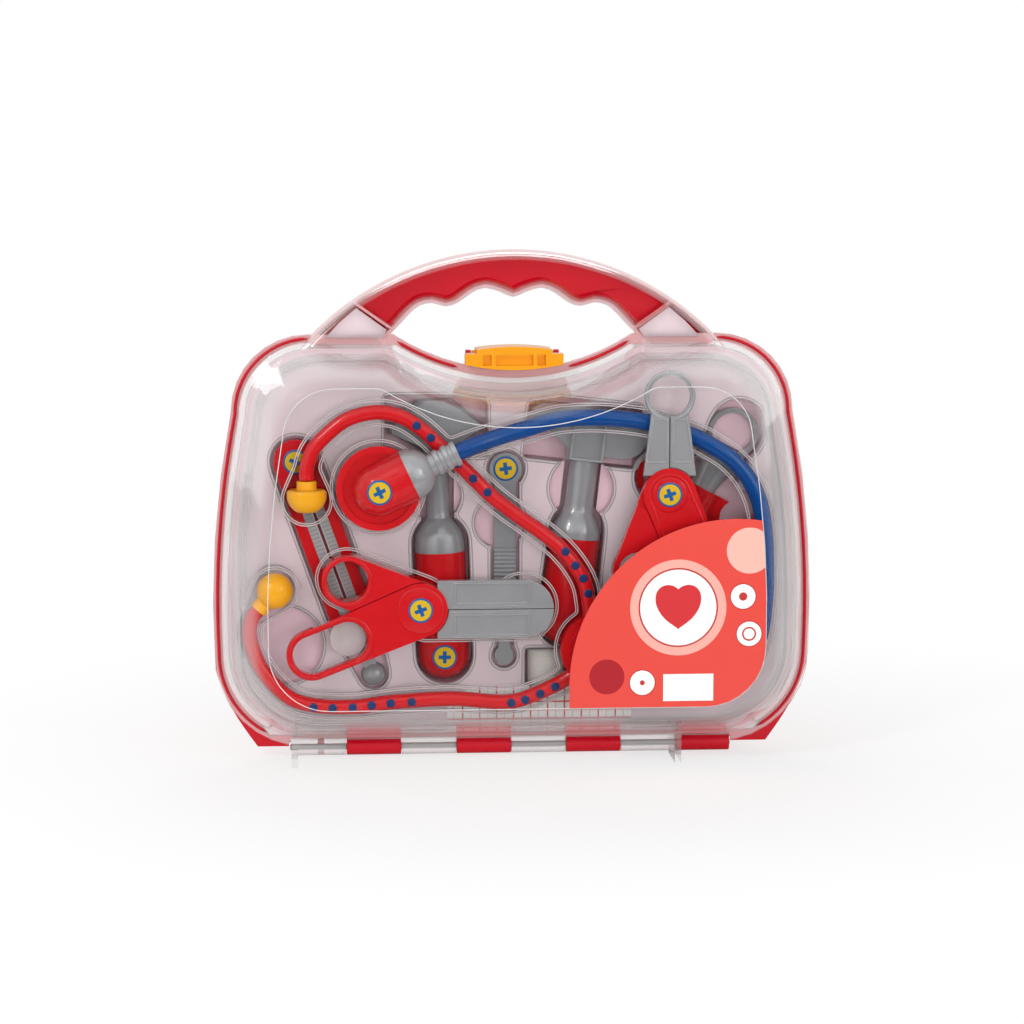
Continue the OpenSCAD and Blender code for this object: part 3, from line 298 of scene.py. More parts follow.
for x, z, radius, colour in label_discs:
    away = add(
        tree, "ShaderNodeVectorMath", {"operation": "DISTANCE"}, _0=flat, _1=(x * mm, 0, z * mm)
    ).outputs["Value"]
    inside = reckon(tree, "LESS_THAN", away, radius * mm)
    ink = blend(tree, inside, ink, colour)
shift = add(
    tree, "ShaderNodeVectorMath", {"operation": "SUBTRACT"}, _0=flat, _1=np.array(tab_place) * mm
).outputs[0]
offset = add(tree, "ShaderNodeSeparateXYZ", Vector=shift)
across = reckon(tree, "ABSOLUTE", offset.outputs["X"])
upward = reckon(tree, "ABSOLUTE", offset.outputs["Z"])
narrow = reckon(tree, "LESS_THAN", across, tab_half[0] * mm)
low = reckon(tree, "LESS_THAN", upward, tab_half[1] * mm)
inside = reckon(tree, "MULTIPLY", narrow, low)
ink = blend(tree, inside, ink, tab_ink)
heart = add(
    tree,
    "ShaderNodeMapping",
    {"vector_type": "TEXTURE"},
    Vector=place,
    Location=np.array(heart_place) * mm,
    Scale=(heart_size * mm, 1, heart_size * mm),
)
across = add(tree, "ShaderNodeSeparateXYZ", Vector=heart.outputs[0])
x2 = reckon(tree, "POWER", across.outputs["X"], 2.0)
z2 = reckon(tree, "POWER", across.outputs["Z"], 2.0)
z3 = reckon(tree, "MULTIPLY", z2, across.outputs["Z"])
both = reckon(tree, "ADD", x2, z2)
less = reckon(tree, "SUBTRACT", both, 1.0)
cube = reckon(tree, "POWER", less, 3.0)
lobe = reckon(tree, "MULTIPLY", x2, z3)
inside = reckon(tree, "LESS_THAN", cube, lobe)
ink = blend(tree, inside, ink, "D8353A")
film = add(tree, "ShaderNodeBsdfPrincipled", Base_Color=ink, Roughness=0.32, IOR=1.5)
wear(label_print, tree, film)

# %% [markdown]
# The card behind the label carries a red grid, as squared paper does. Its lines are where the
# distance along x or z, counted in squares, has almost no remainder.

# %% Card print
square_mm, line_share = 4.15, 0.09
card_print, tree, place = new_material("printed_card")
ink = "F6F3F0"
axes = add(tree, "ShaderNodeSeparateXYZ", Vector=place)
for side in ("X", "Z"):
    for squares, colour in ((1, "F2B9B4"), (2, "DC4B45")):
        count = reckon(tree, "MULTIPLY", axes.outputs[side], per(square_mm * squares))
        rest = reckon(tree, "FRACT", count)
        line = reckon(tree, "LESS_THAN", rest, line_share)
        ink = blend(tree, line, ink, colour)
wear(card_print, tree, add(tree, "ShaderNodeBsdfPrincipled", Base_Color=ink, Roughness=0.6))

# %% [markdown]
# The thermometer's strip is a satin grey film with a dark column down its middle and ticks at
# both sides. Distance along the instrument is the dot product with its own direction.

# %% Thermometer scale
head = np.array([-104.8, 0, 144.0])
ball = np.array([-67.8, 0, 39.7])
along = (ball - head) / np.linalg.norm(ball - head)
aside = np.array([along[2], 0, -along[0]])
tick_mm, tick_share, column_half, edge_half = 2.0, 0.16, 0.7, 1.3
scale_print, tree, place = new_material("printed_scale_film")
start = add(tree, "ShaderNodeVectorMath", {"operation": "SUBTRACT"}, _0=place, _1=head * mm).outputs[0]
down = add(tree, "ShaderNodeVectorMath", {"operation": "DOT_PRODUCT"}, _0=start, _1=along).outputs["Value"]
over = add(tree, "ShaderNodeVectorMath", {"operation": "DOT_PRODUCT"}, _0=start, _1=aside).outputs["Value"]
width = reckon(tree, "ABSOLUTE", over)
count = reckon(tree, "MULTIPLY", down, per(tick_mm))
rest = reckon(tree, "FRACT", count)
tick = reckon(tree, "LESS_THAN", rest, tick_share)
column = reckon(tree, "LESS_THAN", width, column_half * mm)
edge = reckon(tree, "LESS_THAN", width, edge_half * mm)
ink = blend(tree, tick, "B4B2B2", "8B898B")
ink = blend(tree, edge, ink, "C9C7C6")
ink = blend(tree, column, ink, "6E2A33")
wear(scale_print, tree, add(tree, "ShaderNodeBsdfPrincipled", Base_Color=ink, Roughness=0.35, Metallic=0.2))

# %% [markdown]
# ## Edges as a mould leaves them
#
# A solid model ends in razor edges, but a mould's edges are rounded by a few tenths of a
# millimetre, and the thin bright line that they catch is most of what makes plastic look like
# plastic. The imported solids are loose triangles, so a stack of modifiers first welds them and
# joins the flat ones, then bevels what is left of the sharp edges, and last shades the shape
# smooth except over real corners.


# %% Rounded edges and smooth shading
def shade_by_angle():
    """Faces shade smooth, and an edge stays sharp where its faces meet at over 38 degrees."""
    group = bpy.data.node_groups.new("shade_by_angle", "GeometryNodeTree")
    for side in ("INPUT", "OUTPUT"):
        group.interface.new_socket("Geometry", in_out=side, socket_type="NodeSocketGeometry")
    shape = add(group, "NodeGroupInput").outputs[0]
    shape = add(group, "GeometryNodeRemoveAttribute", Geometry=shape, Name="custom_normal").outputs[0]
    shape = add(group, "GeometryNodeSetShadeSmooth", Geometry=shape, Shade_Smooth=True).outputs[0]
    bend = add(group, "GeometryNodeInputMeshEdgeAngle").outputs[0]
    sharp = add(group, "FunctionNodeCompare", {"operation": "GREATER_THAN"}, A=bend, B=math.radians(38))
    shape = add(
        group,
        "GeometryNodeSetShadeSmooth",
        {"domain": "EDGE"},
        Geometry=shape,
        Selection=sharp.outputs[0],
        Shade_Smooth=False,
    ).outputs[0]
    add(group, "NodeGroupOutput", Geometry=shape)
    return group


angle_shading = shade_by_angle()


def soften(piece, edge_mm, join_flat=True):
    """Welds, joins flat faces, bevels edges over 32 degrees by edge_mm, and shades what is left."""
    piece.modifiers.new("weld", "WELD").merge_threshold = 0.002 * mm
    if join_flat:
        flat = piece.modifiers.new("join_flat", "DECIMATE")
        flat.decimate_type = "DISSOLVE"
        flat.angle_limit = math.radians(1)
    ease = piece.modifiers.new("ease", "BEVEL")
    ease.width = edge_mm * mm
    ease.segments = render_levels
    ease.limit_method = "ANGLE"
    ease.angle_limit = math.radians(32)
    piece.modifiers.new("shade", "NODES").node_group = angle_shading
    piece.modifiers.new("weigh", "WEIGHTED_NORMAL").keep_sharp = True


left_crisp = ("label", "chart_card", "thermometer_scale", "badges", "arm_studs", "hinge_pin")
for name, node in nodes.items():
    if name in ("front_tray", "rear_tray"):
        soften(node, 0.7)
    elif name in ("front_cover", "back_shell"):
        soften(node, 0.4, join_flat=False)
    elif name not in left_crisp:
        soften(node, 0.5)

# %% [markdown]
# ## Surfaces
#
# Every new piece is a grid of points. One index runs along the piece and the other round it,
# and each cell of the grid is a face. The helpers below turn grids into meshes and carry a
# round section along a path.


# %% Surface helpers
def grid_faces(rows, columns, loop=False):
    """The four corners of each cell as indices. The last column joins the first; rows may too."""
    row = np.arange(rows if loop else rows - 1)[:, None]
    column = np.arange(columns)[None, :]
    after, beside = (row + 1) % rows, (column + 1) % columns
    here, there = row * columns, after * columns
    corners = [here + column, here + beside, there + beside, there + column]
    return np.stack(corners, -1).reshape(-1, 4)


def build(name, grids, finish, body, loop=False, stands_for=(), uv=None):
    """One mesh from grids of points in millimetres, merged at its poles, facing outwards."""
    points = np.concatenate([grid.reshape(-1, 3) for grid in grids]) * mm
    starts = np.cumsum([0] + [grid.shape[0] * grid.shape[1] for grid in grids[:-1]])
    faces = np.concatenate(
        [grid_faces(grid.shape[0], grid.shape[1], loop) + start for grid, start in zip(grids, starts)]
    )
    mesh = bpy.data.meshes.new(name)
    mesh.from_pydata(points.tolist(), [], faces.tolist())
    if uv is not None:
        corner = np.empty(len(mesh.loops), int)
        mesh.loops.foreach_get("vertex_index", corner)
        mesh.uv_layers.new(name="print").data.foreach_set("uv", uv.reshape(-1, 2)[corner].ravel())
    solid = bmesh.new()
    solid.from_mesh(mesh)
    bmesh.ops.remove_doubles(solid, verts=solid.verts, dist=0.001 * mm)
    bmesh.ops.recalc_face_normals(solid, faces=solid.faces)
    solid.to_mesh(mesh)
    solid.free()
    mesh.shade_smooth()
    mesh.materials.append(finish)
    made = bpy.data.objects.new(name, mesh)
    bpy.context.scene.collection.objects.link(made)
    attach(made, body)
    if stands_for:
        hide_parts(*stands_for)
    print(name, "has", len(mesh.polygons), "faces")
    return made


def unit(vectors):
    """Each vector over its length."""
    return vectors / np.linalg.norm(vectors, axis=-1, keepdims=True)


def sweep(path, radius, sides=20, loop=False, flat=1.0):
    """path + radius * (cos t * side + sin t * out), with side square to the path and to Y.

    A radius that ends in 0 closes the piece. flat scales the section in depth."""
    path = np.asarray(path, float)
    if loop:
        tangent = unit(np.roll(path, -1, 0) - np.roll(path, 1, 0))
    else:
        tangent = unit(np.gradient(path, axis=0))
    side = unit(np.cross(tangent, [0.0, 1.0, 0.0]))
    out = np.cross(side, tangent)
    turn = np.linspace(0, 2 * np.pi, sides, endpoint=False)[None, :, None]
    reach = np.broadcast_to(np.asarray(radius, float), len(path))[:, None, None]
    return path[:, None] + reach * (np.cos(turn) * side[:, None] + flat * np.sin(turn) * out[:, None])


def lathe(profile, place, sides=64):
    """Turns (radius, height) about the line through place towards the viewer, along -Y."""
    profile = np.asarray(profile, float)
    turn = np.linspace(0, 2 * np.pi, sides, endpoint=False)
    radius, height = profile[:, 0, None], profile[:, 1, None] + 0 * turn
    across, up = radius * np.cos(turn), radius * np.sin(turn)
    return np.stack([place[0] + across, place[1] - height, place[2] + up], -1)


def smooth_route(route, steps):
    """Catmull-Rom: each stretch is half of 2b + (c-a)t + (2a-5b+4c-d)t^2 + (3b-a-3c+d)t^3."""
    route = np.asarray(route, float)
    ends = np.concatenate([route[:1], route, route[-1:]])
    a, b, c, d = (ends[i : i + len(route) - 1, None] for i in range(4))
    t = np.linspace(0, 1, steps, endpoint=False)[None, :, None]
    curve = 0.5 * (2 * b + (c - a) * t + (2 * a - 5 * b + 4 * c - d) * t**2 + (3 * b - a - 3 * c + d) * t**3)
    return np.concatenate([curve.reshape(-1, 3), route[-1:]])


def at_depth(line, y):
    """Points (x, z) at depth y."""
    return np.stack([line[:, 0], 0 * line[:, 0] + y, line[:, 1]], -1)


def closed_line(corners, steps, y):
    """A closed line through the corners, each of its sides in equal steps, at depth y."""
    shares = np.linspace(0, 1, steps, endpoint=False)[:, None]
    runs = [a + (b - a) * shares for a, b in zip(corners, np.roll(corners, -1, 0))]
    return at_depth(np.concatenate(runs), y)


def ring_path(centre, radius, y, start=0, end=360, count=64):
    """Points on a circle in the X-Z plane at depth y, from one angle to another."""
    whole = abs(end - start) >= 360
    angle = np.radians(np.linspace(start, end, count, endpoint=not whole))
    circle = radius * np.stack([np.cos(angle), np.sin(angle)], -1)
    return at_depth(np.array(centre) + circle, y)


def belt_path(p, p_radius, q, q_radius, y):
    """The closed line of a belt round two circles: an arc of each and the two straight runs."""
    p, q = np.array(p, float), np.array(q, float)
    lean = math.degrees(math.atan2(q[1] - p[1], q[0] - p[0]))
    open_by = math.degrees(math.acos((p_radius - q_radius) / np.linalg.norm(q - p)))
    one = ring_path(p, p_radius, y, lean + open_by, lean + 359.9 - open_by, 40)
    two = ring_path(q, q_radius, y, lean - open_by, lean + open_by, 40)
    return np.concatenate([one, two])


# %% [markdown]
# ## Stethoscope
#
# The headset's two arms and the tube are round rods bent to the channel of the tray. Each is
# a circle carried along a smooth line through the bends, so it has no facets. Navy plugs sit
# in a row along the arms, and their low domes stand just proud of the front of the rod.

# %% Arms and tube
arm_y, arm_radius = -12.6, 3.6
upper_arm = [
    (-99.6, 136), (-99.4, 142.5), (-96.6, 150.5), (-90.5, 157.5), (-80, 165.4), (-66.4, 168.6),
    (-54.4, 166.4), (-44.7, 160.4), (-37.5, 153.8), (-31.2, 147.8), (-19.7, 136.5), (-12, 128.8),
    (-1, 120.1), (12.5, 110.5), (22.2, 102.3), (29.9, 92.7), (34.5, 83), (36.5, 68),
]
lower_arm = [
    (-123.2, 73.9), (-126.4, 69.6), (-127.2, 60), (-121.6, 45), (-109.4, 31.8), (-95.8, 27.2),
    (-77, 26.4), (-57.7, 28.6), (-29.4, 29.7), (-4.8, 27.8), (8.7, 31), (24.1, 38.3), (33, 45),
]
tube_y, tube_radius = -13.1, 4.1
tube_route = [
    (-34.6, -22.6, 147), (-27.3, -22.6, 150.4), (-18.3, -20.6, 153.8), (-7.6, -16.4, 157),
    (6.3, tube_y, 160.6), (21.2, tube_y, 164.7), (41, tube_y, 165.4), (61.2, -11.4, 163.4),
    (73, -10.3, 160.4), (85, -11.4, 156.6), (94, tube_y, 152), (104, tube_y, 145.4),
    (112, tube_y, 136.6), (117, tube_y, 127.2), (119.4, tube_y, 118.4), (121, tube_y, 106),
    (121.6, tube_y, 90), (121, tube_y, 74), (118.6, tube_y, 58), (111, tube_y, 42),
    (97, tube_y, 32.6), (82, tube_y, 31), (66, tube_y, 36.4), (52, tube_y, 46.4),
]
for name, bends in (("upper_arm_rod", upper_arm), ("lower_arm_rod", lower_arm)):
    line = smooth_route([(x, arm_y, z) for x, z in bends], 10)
    radius = np.full(len(line), arm_radius)
    radius[[0, -1]] = 0
    build(name, [sweep(line, radius, 28)], red_abs, "case_back", stands_for=["headset_" + name[:-4]])
line = smooth_route(tube_route, 10)
radius = np.full(len(line), tube_radius)
radius[[0, -1]] = 0
build("vinyl_tube", [sweep(line, radius, 28)], blue_vinyl, "case_back", stands_for=["tube"])

# %% Navy plugs
plug_radius = 2.1
plugs = [
    (-47.1, 162.4), (-40.4, 156.6), (-27.4, 144), (-20.2, 136.9), (-13.4, 130.2), (24.1, 101.3),
    (28.9, 94.5), (32.8, 88.2), (35.2, 80.9), (-97.2, 26.9), (-88, 26.4), (-78.4, 26.6),
    (-69.3, 27.5), (-60.1, 28.4), (-50, 28.9), (-2, 27.9), (4.8, 29.4), (12, 32.2), (19.3, 35.6),
]
dome = [
    (0, 0), (plug_radius, 0), (plug_radius, 3.6), (plug_radius * 0.85, 3.74), (plug_radius * 0.5, 3.84),
    (0, 3.88),
]
plug_grids = [lathe(dome, (x, arm_y, z), 32) for x, z in plugs]
build("arm_plugs", plug_grids, navy_plug, "case_back", stands_for=["arm_studs"])

# %% [markdown]
# ## Badges
#
# Round printed discs mark the instruments and cap the two rivets. Each is a slightly domed
# disc turned on a lathe. Its own UV map runs from -1 to 1 across the disc, so one material
# prints a yellow field, a blue ring and a plain cross of two bars on all of them.

# %% Badge print
bar_reach, bar_half, ring_from = 0.50, 0.155, 0.84
badge_print, tree, place = new_material("printed_polyester_badge")
spot = add(tree, "ShaderNodeUVMap", {"uv_map": "print"}).outputs[0]
axes = add(tree, "ShaderNodeSeparateXYZ", Vector=spot)
across = reckon(tree, "ABSOLUTE", axes.outputs["X"])
upward = reckon(tree, "ABSOLUTE", axes.outputs["Y"])
long_side = reckon(tree, "MAXIMUM", across, upward)
short_side = reckon(tree, "MINIMUM", across, upward)
reach = reckon(tree, "LESS_THAN", long_side, bar_reach)
slim = reckon(tree, "LESS_THAN", short_side, bar_half)
bars = reckon(tree, "MULTIPLY", reach, slim)
away = add(tree, "ShaderNodeVectorMath", {"operation": "LENGTH"}, _0=spot).outputs["Value"]
rim = reckon(tree, "GREATER_THAN", away, ring_from)
blue = reckon(tree, "MAXIMUM", bars, rim)
ink = blend(tree, blue, "DDB512", "0A5C9E")
wear(badge_print, tree, add(tree, "ShaderNodeBsdfPrincipled", Base_Color=ink, Roughness=0.3))


# %% Badge discs
def badge_grid(place, turn_degrees=0.0, radius=6.0, thick=0.5, sides=64):
    """A lathe of a flat-topped dome, and its UV map turned by an angle about the disc's middle."""
    shares = [(0, 1), (0.5, 0.98), (0.93, 0.86), (1, 0.5), (1, 0), (0, 0)]
    profile = np.array(shares) * (radius, thick)
    turn = np.linspace(0, 2 * np.pi, sides, endpoint=False) - math.radians(turn_degrees)
    share = profile[:, 0, None] / radius
    return lathe(profile, place, sides), np.stack([share * np.cos(turn), share * np.sin(turn)], -1)


still_badges = [
    ((-65.4, -34.4, 132.6), 25.0), ((-104.8, -2.4, 144.0), -20.0), ((-33.4, -3.3, 48.5), 0.0),
    ((-3.4, 2.9, 139.5), 8.0),
]
made = [badge_grid(place, turn) for place, turn in still_badges]
build("badge_discs", [grid for grid, _ in made], badge_print, "case_back", stands_for=["badges"],
      uv=np.concatenate([uv.reshape(-1, 2) for _, uv in made]))
rivets = [
    ("scissors_rivet", (-45.7, -22.3, 74.4), -9.0),
    ("forceps_rivet", (73.7, -21.7, 129.0), -14.7),
]
shank_radius = 2.5
for name, place, back in rivets:
    cap, uv = badge_grid(place, 20.0)
    tall = back - place[1]
    shank = lathe([(0, 0), (shank_radius, 0), (shank_radius, tall), (0, tall)], (place[0], back, place[2]))
    build(name + "_cap", [cap, shank], badge_print, "case_back", stands_for=[name],
          uv=np.concatenate([uv.reshape(-1, 2), np.zeros((shank.shape[0] * shank.shape[1], 2))]))

# %% [markdown]
# ## Raised rims on the instruments
#
# The toy scissors and forceps are plates with a rounded rib round every ring and along every
# edge, which is how a moulder makes a thin part stiff. A rib is a flattened circle carried
# round the outline and sunk to its middle in the face of the plate.


# %% Ribs of the scissors and forceps
def rib(path, width, sides=12, loop=True, flat=0.6):
    """A sweep that is half sunk; an open rib has round ends, where its radius falls to 0."""
    radius = np.full(len(path), width / 2)
    if not loop:
        radius[[0, -1]] = 0
    return sweep(path, radius, sides, loop, flat)


def disc_step(place, radius, height):
    """A low round boss with a rounded edge."""
    edge = [(radius - 0.8, height), (radius - 0.25, height * 0.75), (radius, 0)]
    return lathe([(0, height), *edge, (0, 0)], place)


pivot, front = (-45.7, 74.4), -22.0
loop_near, loop_far, loop_radius = (-80.4, 60.0), (-97.7, 53.2), 10.9
loop_line = belt_path(loop_near, loop_radius, loop_far, loop_radius, front)
build("scissors_front_rims", [rib(loop_line, 2.2)], red_abs, "scissors_front", loop=True)
build("scissors_front_boss", [disc_step((pivot[0], front, pivot[1]), 11.4, 0.4)], red_abs, "scissors_front")
build("scissors_rear_rim", [rib(ring_path((-80.6, 88.5), 11.1, front), 2.3)], red_abs, "case_back", loop=True)

pivot, front = np.array((73.7, 129.0)), -21.4
ring = pivot + (14.9, -37.3)
handle_line = belt_path(pivot, 9.6, ring, 10.9, front)
build("forceps_front_rims", [rib(handle_line, 1.3)], red_abs, "forceps_front", loop=True)
build("forceps_front_boss", [disc_step((pivot[0], front, pivot[1]), 8.6, 0.35)], red_abs, "forceps_front")


def jaw_panel(side, y):
    """A rounded four-sided line just inside one jaw, from its root to the ring at its tip."""
    corners = np.array([(1.5, 15.5), (11.2, 15.5), (8.0, 36.0), (1.5, 36.0)]) * (side, 1)
    return closed_line(corners + pivot, 12, y)


tip, jaw_face = pivot + (0, 47.2), front + 1.0
for half, side, body in (("front", -1, "forceps_front"), ("rear", 1, "case_back")):
    panel = rib(jaw_panel(side, jaw_face), 1.1, 8)
    build(f"forceps_{half}_jaw_ribs", [panel], silver_abs, body, loop=True)
    middle = 90 - side * 90
    arc = ring_path(tip, 11.4, jaw_face, middle - 84, middle + 84, 48)
    build(f"forceps_{half}_tip_rim", [rib(arc, 1.4, 10, loop=False)], silver_abs, body)

# %% Ribs on the blades and the hammer
blade_panels = [((-28.7, 77.6), (5.3, 86.4)), ((-28.7, 62.4), (5.3, 71.2))]
blade_face = -20.8


def panel_line(low, high, y, grow):
    """A closed four-sided line round a panel, this far outside it."""
    corners = np.array([(low[0], low[1]), (high[0], low[1]), (high[0], high[1]), (low[0], high[1])], float)
    corners += grow * np.sign(corners - corners.mean(0))
    return closed_line(corners, 14, y)


for name, (low, high), body in zip(("upper", "lower"), blade_panels, ("scissors_front", "case_back")):
    lines = [panel_line(low, high, blade_face, grow) for grow in (0.5, 1.6)]
    build(name + "_blade_ribs", [rib(line, 0.7, 8) for line in lines], silver_abs, body, loop=True)

lean, head_x, head_z = math.radians(6.6), 36.6, 157.0
hammer_frame = panel_line((-7.6, -13.0), (7.6, 11.0), 0.0, 0.0)
turned = hammer_frame.copy()
turned[:, 0] = head_x + hammer_frame[:, 0] * math.cos(lean) + hammer_frame[:, 2] * math.sin(lean)
turned[:, 2] = head_z - hammer_frame[:, 0] * math.sin(lean) + hammer_frame[:, 2] * math.cos(lean)
turned[:, 1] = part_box("hammer_head")[0][1] / mm
build("hammer_frame", [rib(turned, 1.3, 10)], silver_abs, "case_back", loop=True)

# %% Rings on the cover's face
gate = (1.2, 75.3)
cover_face = -38.0
rings = [rib(ring_path(gate, radius, cover_face + 0.05), 0.7, 8, flat=0.5) for radius in (4.6, 2.3)]
build("cover_gate_rings", rings, clear_polystyrene, "cover", loop=True)

# %% [markdown]
# ## Lips of the formed trays
#
# A sheet that is drawn down over a mould keeps a rounded lip round every pocket. The pale double
# line that shows round each instrument is the glint along that lip, painted into the lip's
# colour as a milky white share. The line is read from the packed tray: it is every edge between
# a face that lies in the tray's land and a face that drops away from it. Each closed line is
# smoothed a little and carries a fine rib, and a second one stands a millimetre further out. The
# edge of the cover's face is found the same way and carries a bead, just behind the face, whose
# milky white is a painted glint along that edge. A low disc stands behind the scissors' lower
# loop.


# %% Lips
def land_loops(name, land):
    """Closed lines of points in mm round the pockets of a tray, each with its outward normals."""
    solid = bmesh.new()
    solid.from_mesh(nodes[name].data)
    bmesh.ops.remove_doubles(solid, verts=solid.verts, dist=0.003 * mm)
    level = {v for v in solid.verts if abs(v.co.y / mm - land) < 0.02}
    beside = {}
    for edge in solid.edges:
        if edge.verts[0] not in level or edge.verts[1] not in level or len(edge.link_faces) != 2:
            continue
        flat = [all(v in level for v in face.verts) for face in edge.link_faces]
        if flat[0] == flat[1]:
            continue
        middle = edge.link_faces[flat.index(True)].calc_center_median()
        for near, far in (tuple(edge.verts), tuple(edge.verts)[::-1]):
            beside.setdefault(near, []).append((far, middle))
    loops = []
    while beside:
        start = next(iter(beside))
        line, land_side, here = [], [], start
        while here in beside:
            onward = beside.pop(here)
            line.append(np.array(here.co) / mm)
            step = next((pair for pair in onward if pair[0] in beside), onward[0])
            land_side.append(np.array(step[1]) / mm)
            here = step[0]
        if len(line) > 5:
            loops.append((np.array(line), np.array(land_side)))
    solid.free()
    return loops


def even_line(line, spacing):
    """Points at equal steps along a closed line, each drawn a little towards its neighbours."""
    closed = np.concatenate([line, line[:1]])
    walked = np.concatenate([[0], np.cumsum(np.linalg.norm(np.diff(closed, axis=0), axis=1))])
    count = max(12, int(walked[-1] / spacing))
    at = np.linspace(0, walked[-1], count, endpoint=False)
    even = np.stack([np.interp(at, walked, closed[:, axis]) for axis in range(3)], -1)
    for _ in range(2):
        even = (np.roll(even, 1, 0) + 2 * even + np.roll(even, -1, 0)) / 4
    return even


def lip_grids(name, land, offsets, width, shortest):
    """A rib on each line of a tray, for each offset towards the land."""
    grids = []
    for line, land_side in land_loops(name, land):
        if len(line) < 6 or np.linalg.norm(np.diff(line, axis=0), axis=1).sum() < shortest:
            continue
        even = even_line(line, 1.5)
        tangent = unit(np.roll(even, -1, 0) - np.roll(even, 1, 0))
        normal = np.stack([-tangent[:, 2], 0 * tangent[:, 0], tangent[:, 0]], -1)
        nearest = np.argmin(np.linalg.norm(even[None] - line[:, None], axis=2), axis=1)
        side = np.sign(np.sum(normal[nearest] * (land_side - line), axis=1).sum())
        for offset in offsets:
            path = even + side * offset * normal
            path[:, 1] = land
            grids.append(rib(path, width, 6, flat=0.8))
    return grids


front_land, rear_land, bead_behind = -12.0, 2.0, 0.35
disc_radius, disc_height = 9.0, 2.5
front_lips = lip_grids("front_tray", front_land, (0.2, 1.2), 0.55, 20.0)
build("front_tray_lips", front_lips, lip_pvc_with_painted_glint, "case_back", loop=True)
rear_lips = lip_grids("rear_tray", rear_land, (0.2, 1.3), 0.6, 20.0)
build("rear_tray_lips", rear_lips, lip_pvc_with_painted_glint, "case_back", loop=True)
face_bead = lip_grids("front_cover", cover_face, (0.0,), 0.45, 400.0)
for grid in face_bead:
    grid[:, :, 1] += bead_behind
build("cover_face_bead", face_bead, bead_with_painted_glint, "cover", loop=True)
disc = disc_step((loop_near[0], front_land, loop_near[1]), disc_radius, disc_height)
build("scissors_loop_disc", [disc], lip_pvc_with_painted_glint, "case_back")

# %% [markdown]
# ## Lip of the red shell
#
# The red rim carries a low lip that finds a step in the clear rim, so that the halves meet in
# line. It shows through the clear rim as a thin red line along both sides and beside the latch.
# The clear rim itself has a low rounded bead on its front, along both sides and round the dip.
# The bead's milky white is a painted glint along it.

# %% Rim outline, its red lip and its beads with a painted glint
rim_half_width, rim_foot, rim_head, dip_low = 145.0, 5.0, 205.0, 187.8
side_middle, side_radius = 72.0, 487.0


def rim_side(inset):
    """The right half of the clear rim, this far in: a bowed side, a top corner and the dip."""

    def reach(z):
        """Half the width at a height, as a circle of the side's radius bows in."""
        return rim_half_width - inset - (z - side_middle) ** 2 / (2 * side_radius)

    foot, head = rim_foot + 0.9 * inset, rim_head - 0.87 * inset
    low_radius, top_radius = 44.5 - 0.6 * inset, 37.0 - 0.5 * inset
    low, high = foot + low_radius, head - top_radius
    dip, half = dip_low - 0.93 * inset, 57.6 + 0.27 * inset
    dip_radius = (half**2 + (head - dip) ** 2) / (2 * (head - dip))
    dip_turn = math.asin(half / dip_radius)
    angles = np.radians(np.linspace(-62, 0, 16))
    corner = [(reach(low) - low_radius * (1 - math.cos(a)), low + low_radius * math.sin(a)) for a in angles]
    side = [(reach(z), z) for z in np.linspace(low, high, 14)[1:-1]]
    angles = np.radians(np.linspace(0, 90, 18))
    top = [(reach(high) - top_radius * (1 - math.cos(a)), high + top_radius * math.sin(a)) for a in angles]
    angles = np.linspace(dip_turn, 0, 24)
    dips = [(dip_radius * math.sin(a), dip + dip_radius * (1 - math.cos(a))) for a in angles]
    return np.array(corner + side + top), np.array(dips)


lip_inset, lip_width, lip_y, lip_from, lip_to = 2.2, 1.5, -0.9, 26, 57
lip_side, lip_dip = rim_side(lip_inset)
red_lips = []
for line in (lip_side, lip_dip[(lip_dip[:, 0] > lip_from) & (lip_dip[:, 0] < lip_to)]):
    for side in (-1, 1):
        path = at_depth(line * (side, 1), lip_y)
        red_lips.append(rib(path, lip_width, 10, loop=False, flat=0.8))
for grids, name in ((red_lips[:2], "red_rim_lip_sides"), (red_lips[2:], "red_rim_lip_dip")):
    build(name, grids, red_shell, "case_back")

bead_inset, bead_width, flange_front = 5.6, 3.0, -2.1
bead_side, half_dip = rim_side(bead_inset)
whole_dip = np.concatenate([half_dip * (-1, 1), half_dip[-2::-1]])
rim_beads = []
for line in (bead_side, bead_side * (-1, 1), whole_dip):
    rim_beads.append(rib(at_depth(line, flange_front), bead_width, 12, loop=False, flat=0.3))
build("cover_rim_beads", rim_beads, bead_with_painted_glint, "cover")

# %% [markdown]
# ## Feet of the handle
#
# The tray's sheet reaches up into both feet of the handle and closes the hollow there, up to
# the slanting wall, so the feet look pale and not red.


# %% Webs in the handle's feet
def plate_grid(outline, y_front, y_back):
    """Rows: the middle, the outline in front, the outline behind and the middle again."""
    outline = np.array(outline, float)
    middle = np.broadcast_to(outline.mean(0), outline.shape)
    rows = [(middle, y_front), (outline, y_front), (outline, y_back), (middle, y_back)]
    return np.stack([at_depth(points, y) for points, y in rows])


foot = np.array([
    (60.8, 207.2), (75.2, 217.6), (83.0, 211.0), (90.0, 203.6), (76.0, 203.4), (62.6, 203.2),
])
webs = [plate_grid(foot * (side, 1), -1.0, -0.2) for side in (-1, 1)]
build("handle_foot_webs", webs, frosted_pvc, "case_back")

# %% [markdown]
# ## Gauze roll
#
# A strip of gauze 21.5 mm wide is wound on itself seventeen times, which is a guess. The radius
# grows by one layer a turn, and the edges wander by up to 0.18 mm, as a wound strip's do. The
# weave is drawn along the strip: a thread is high where the sine across it is, and the small
# holes between threads are a little darker.

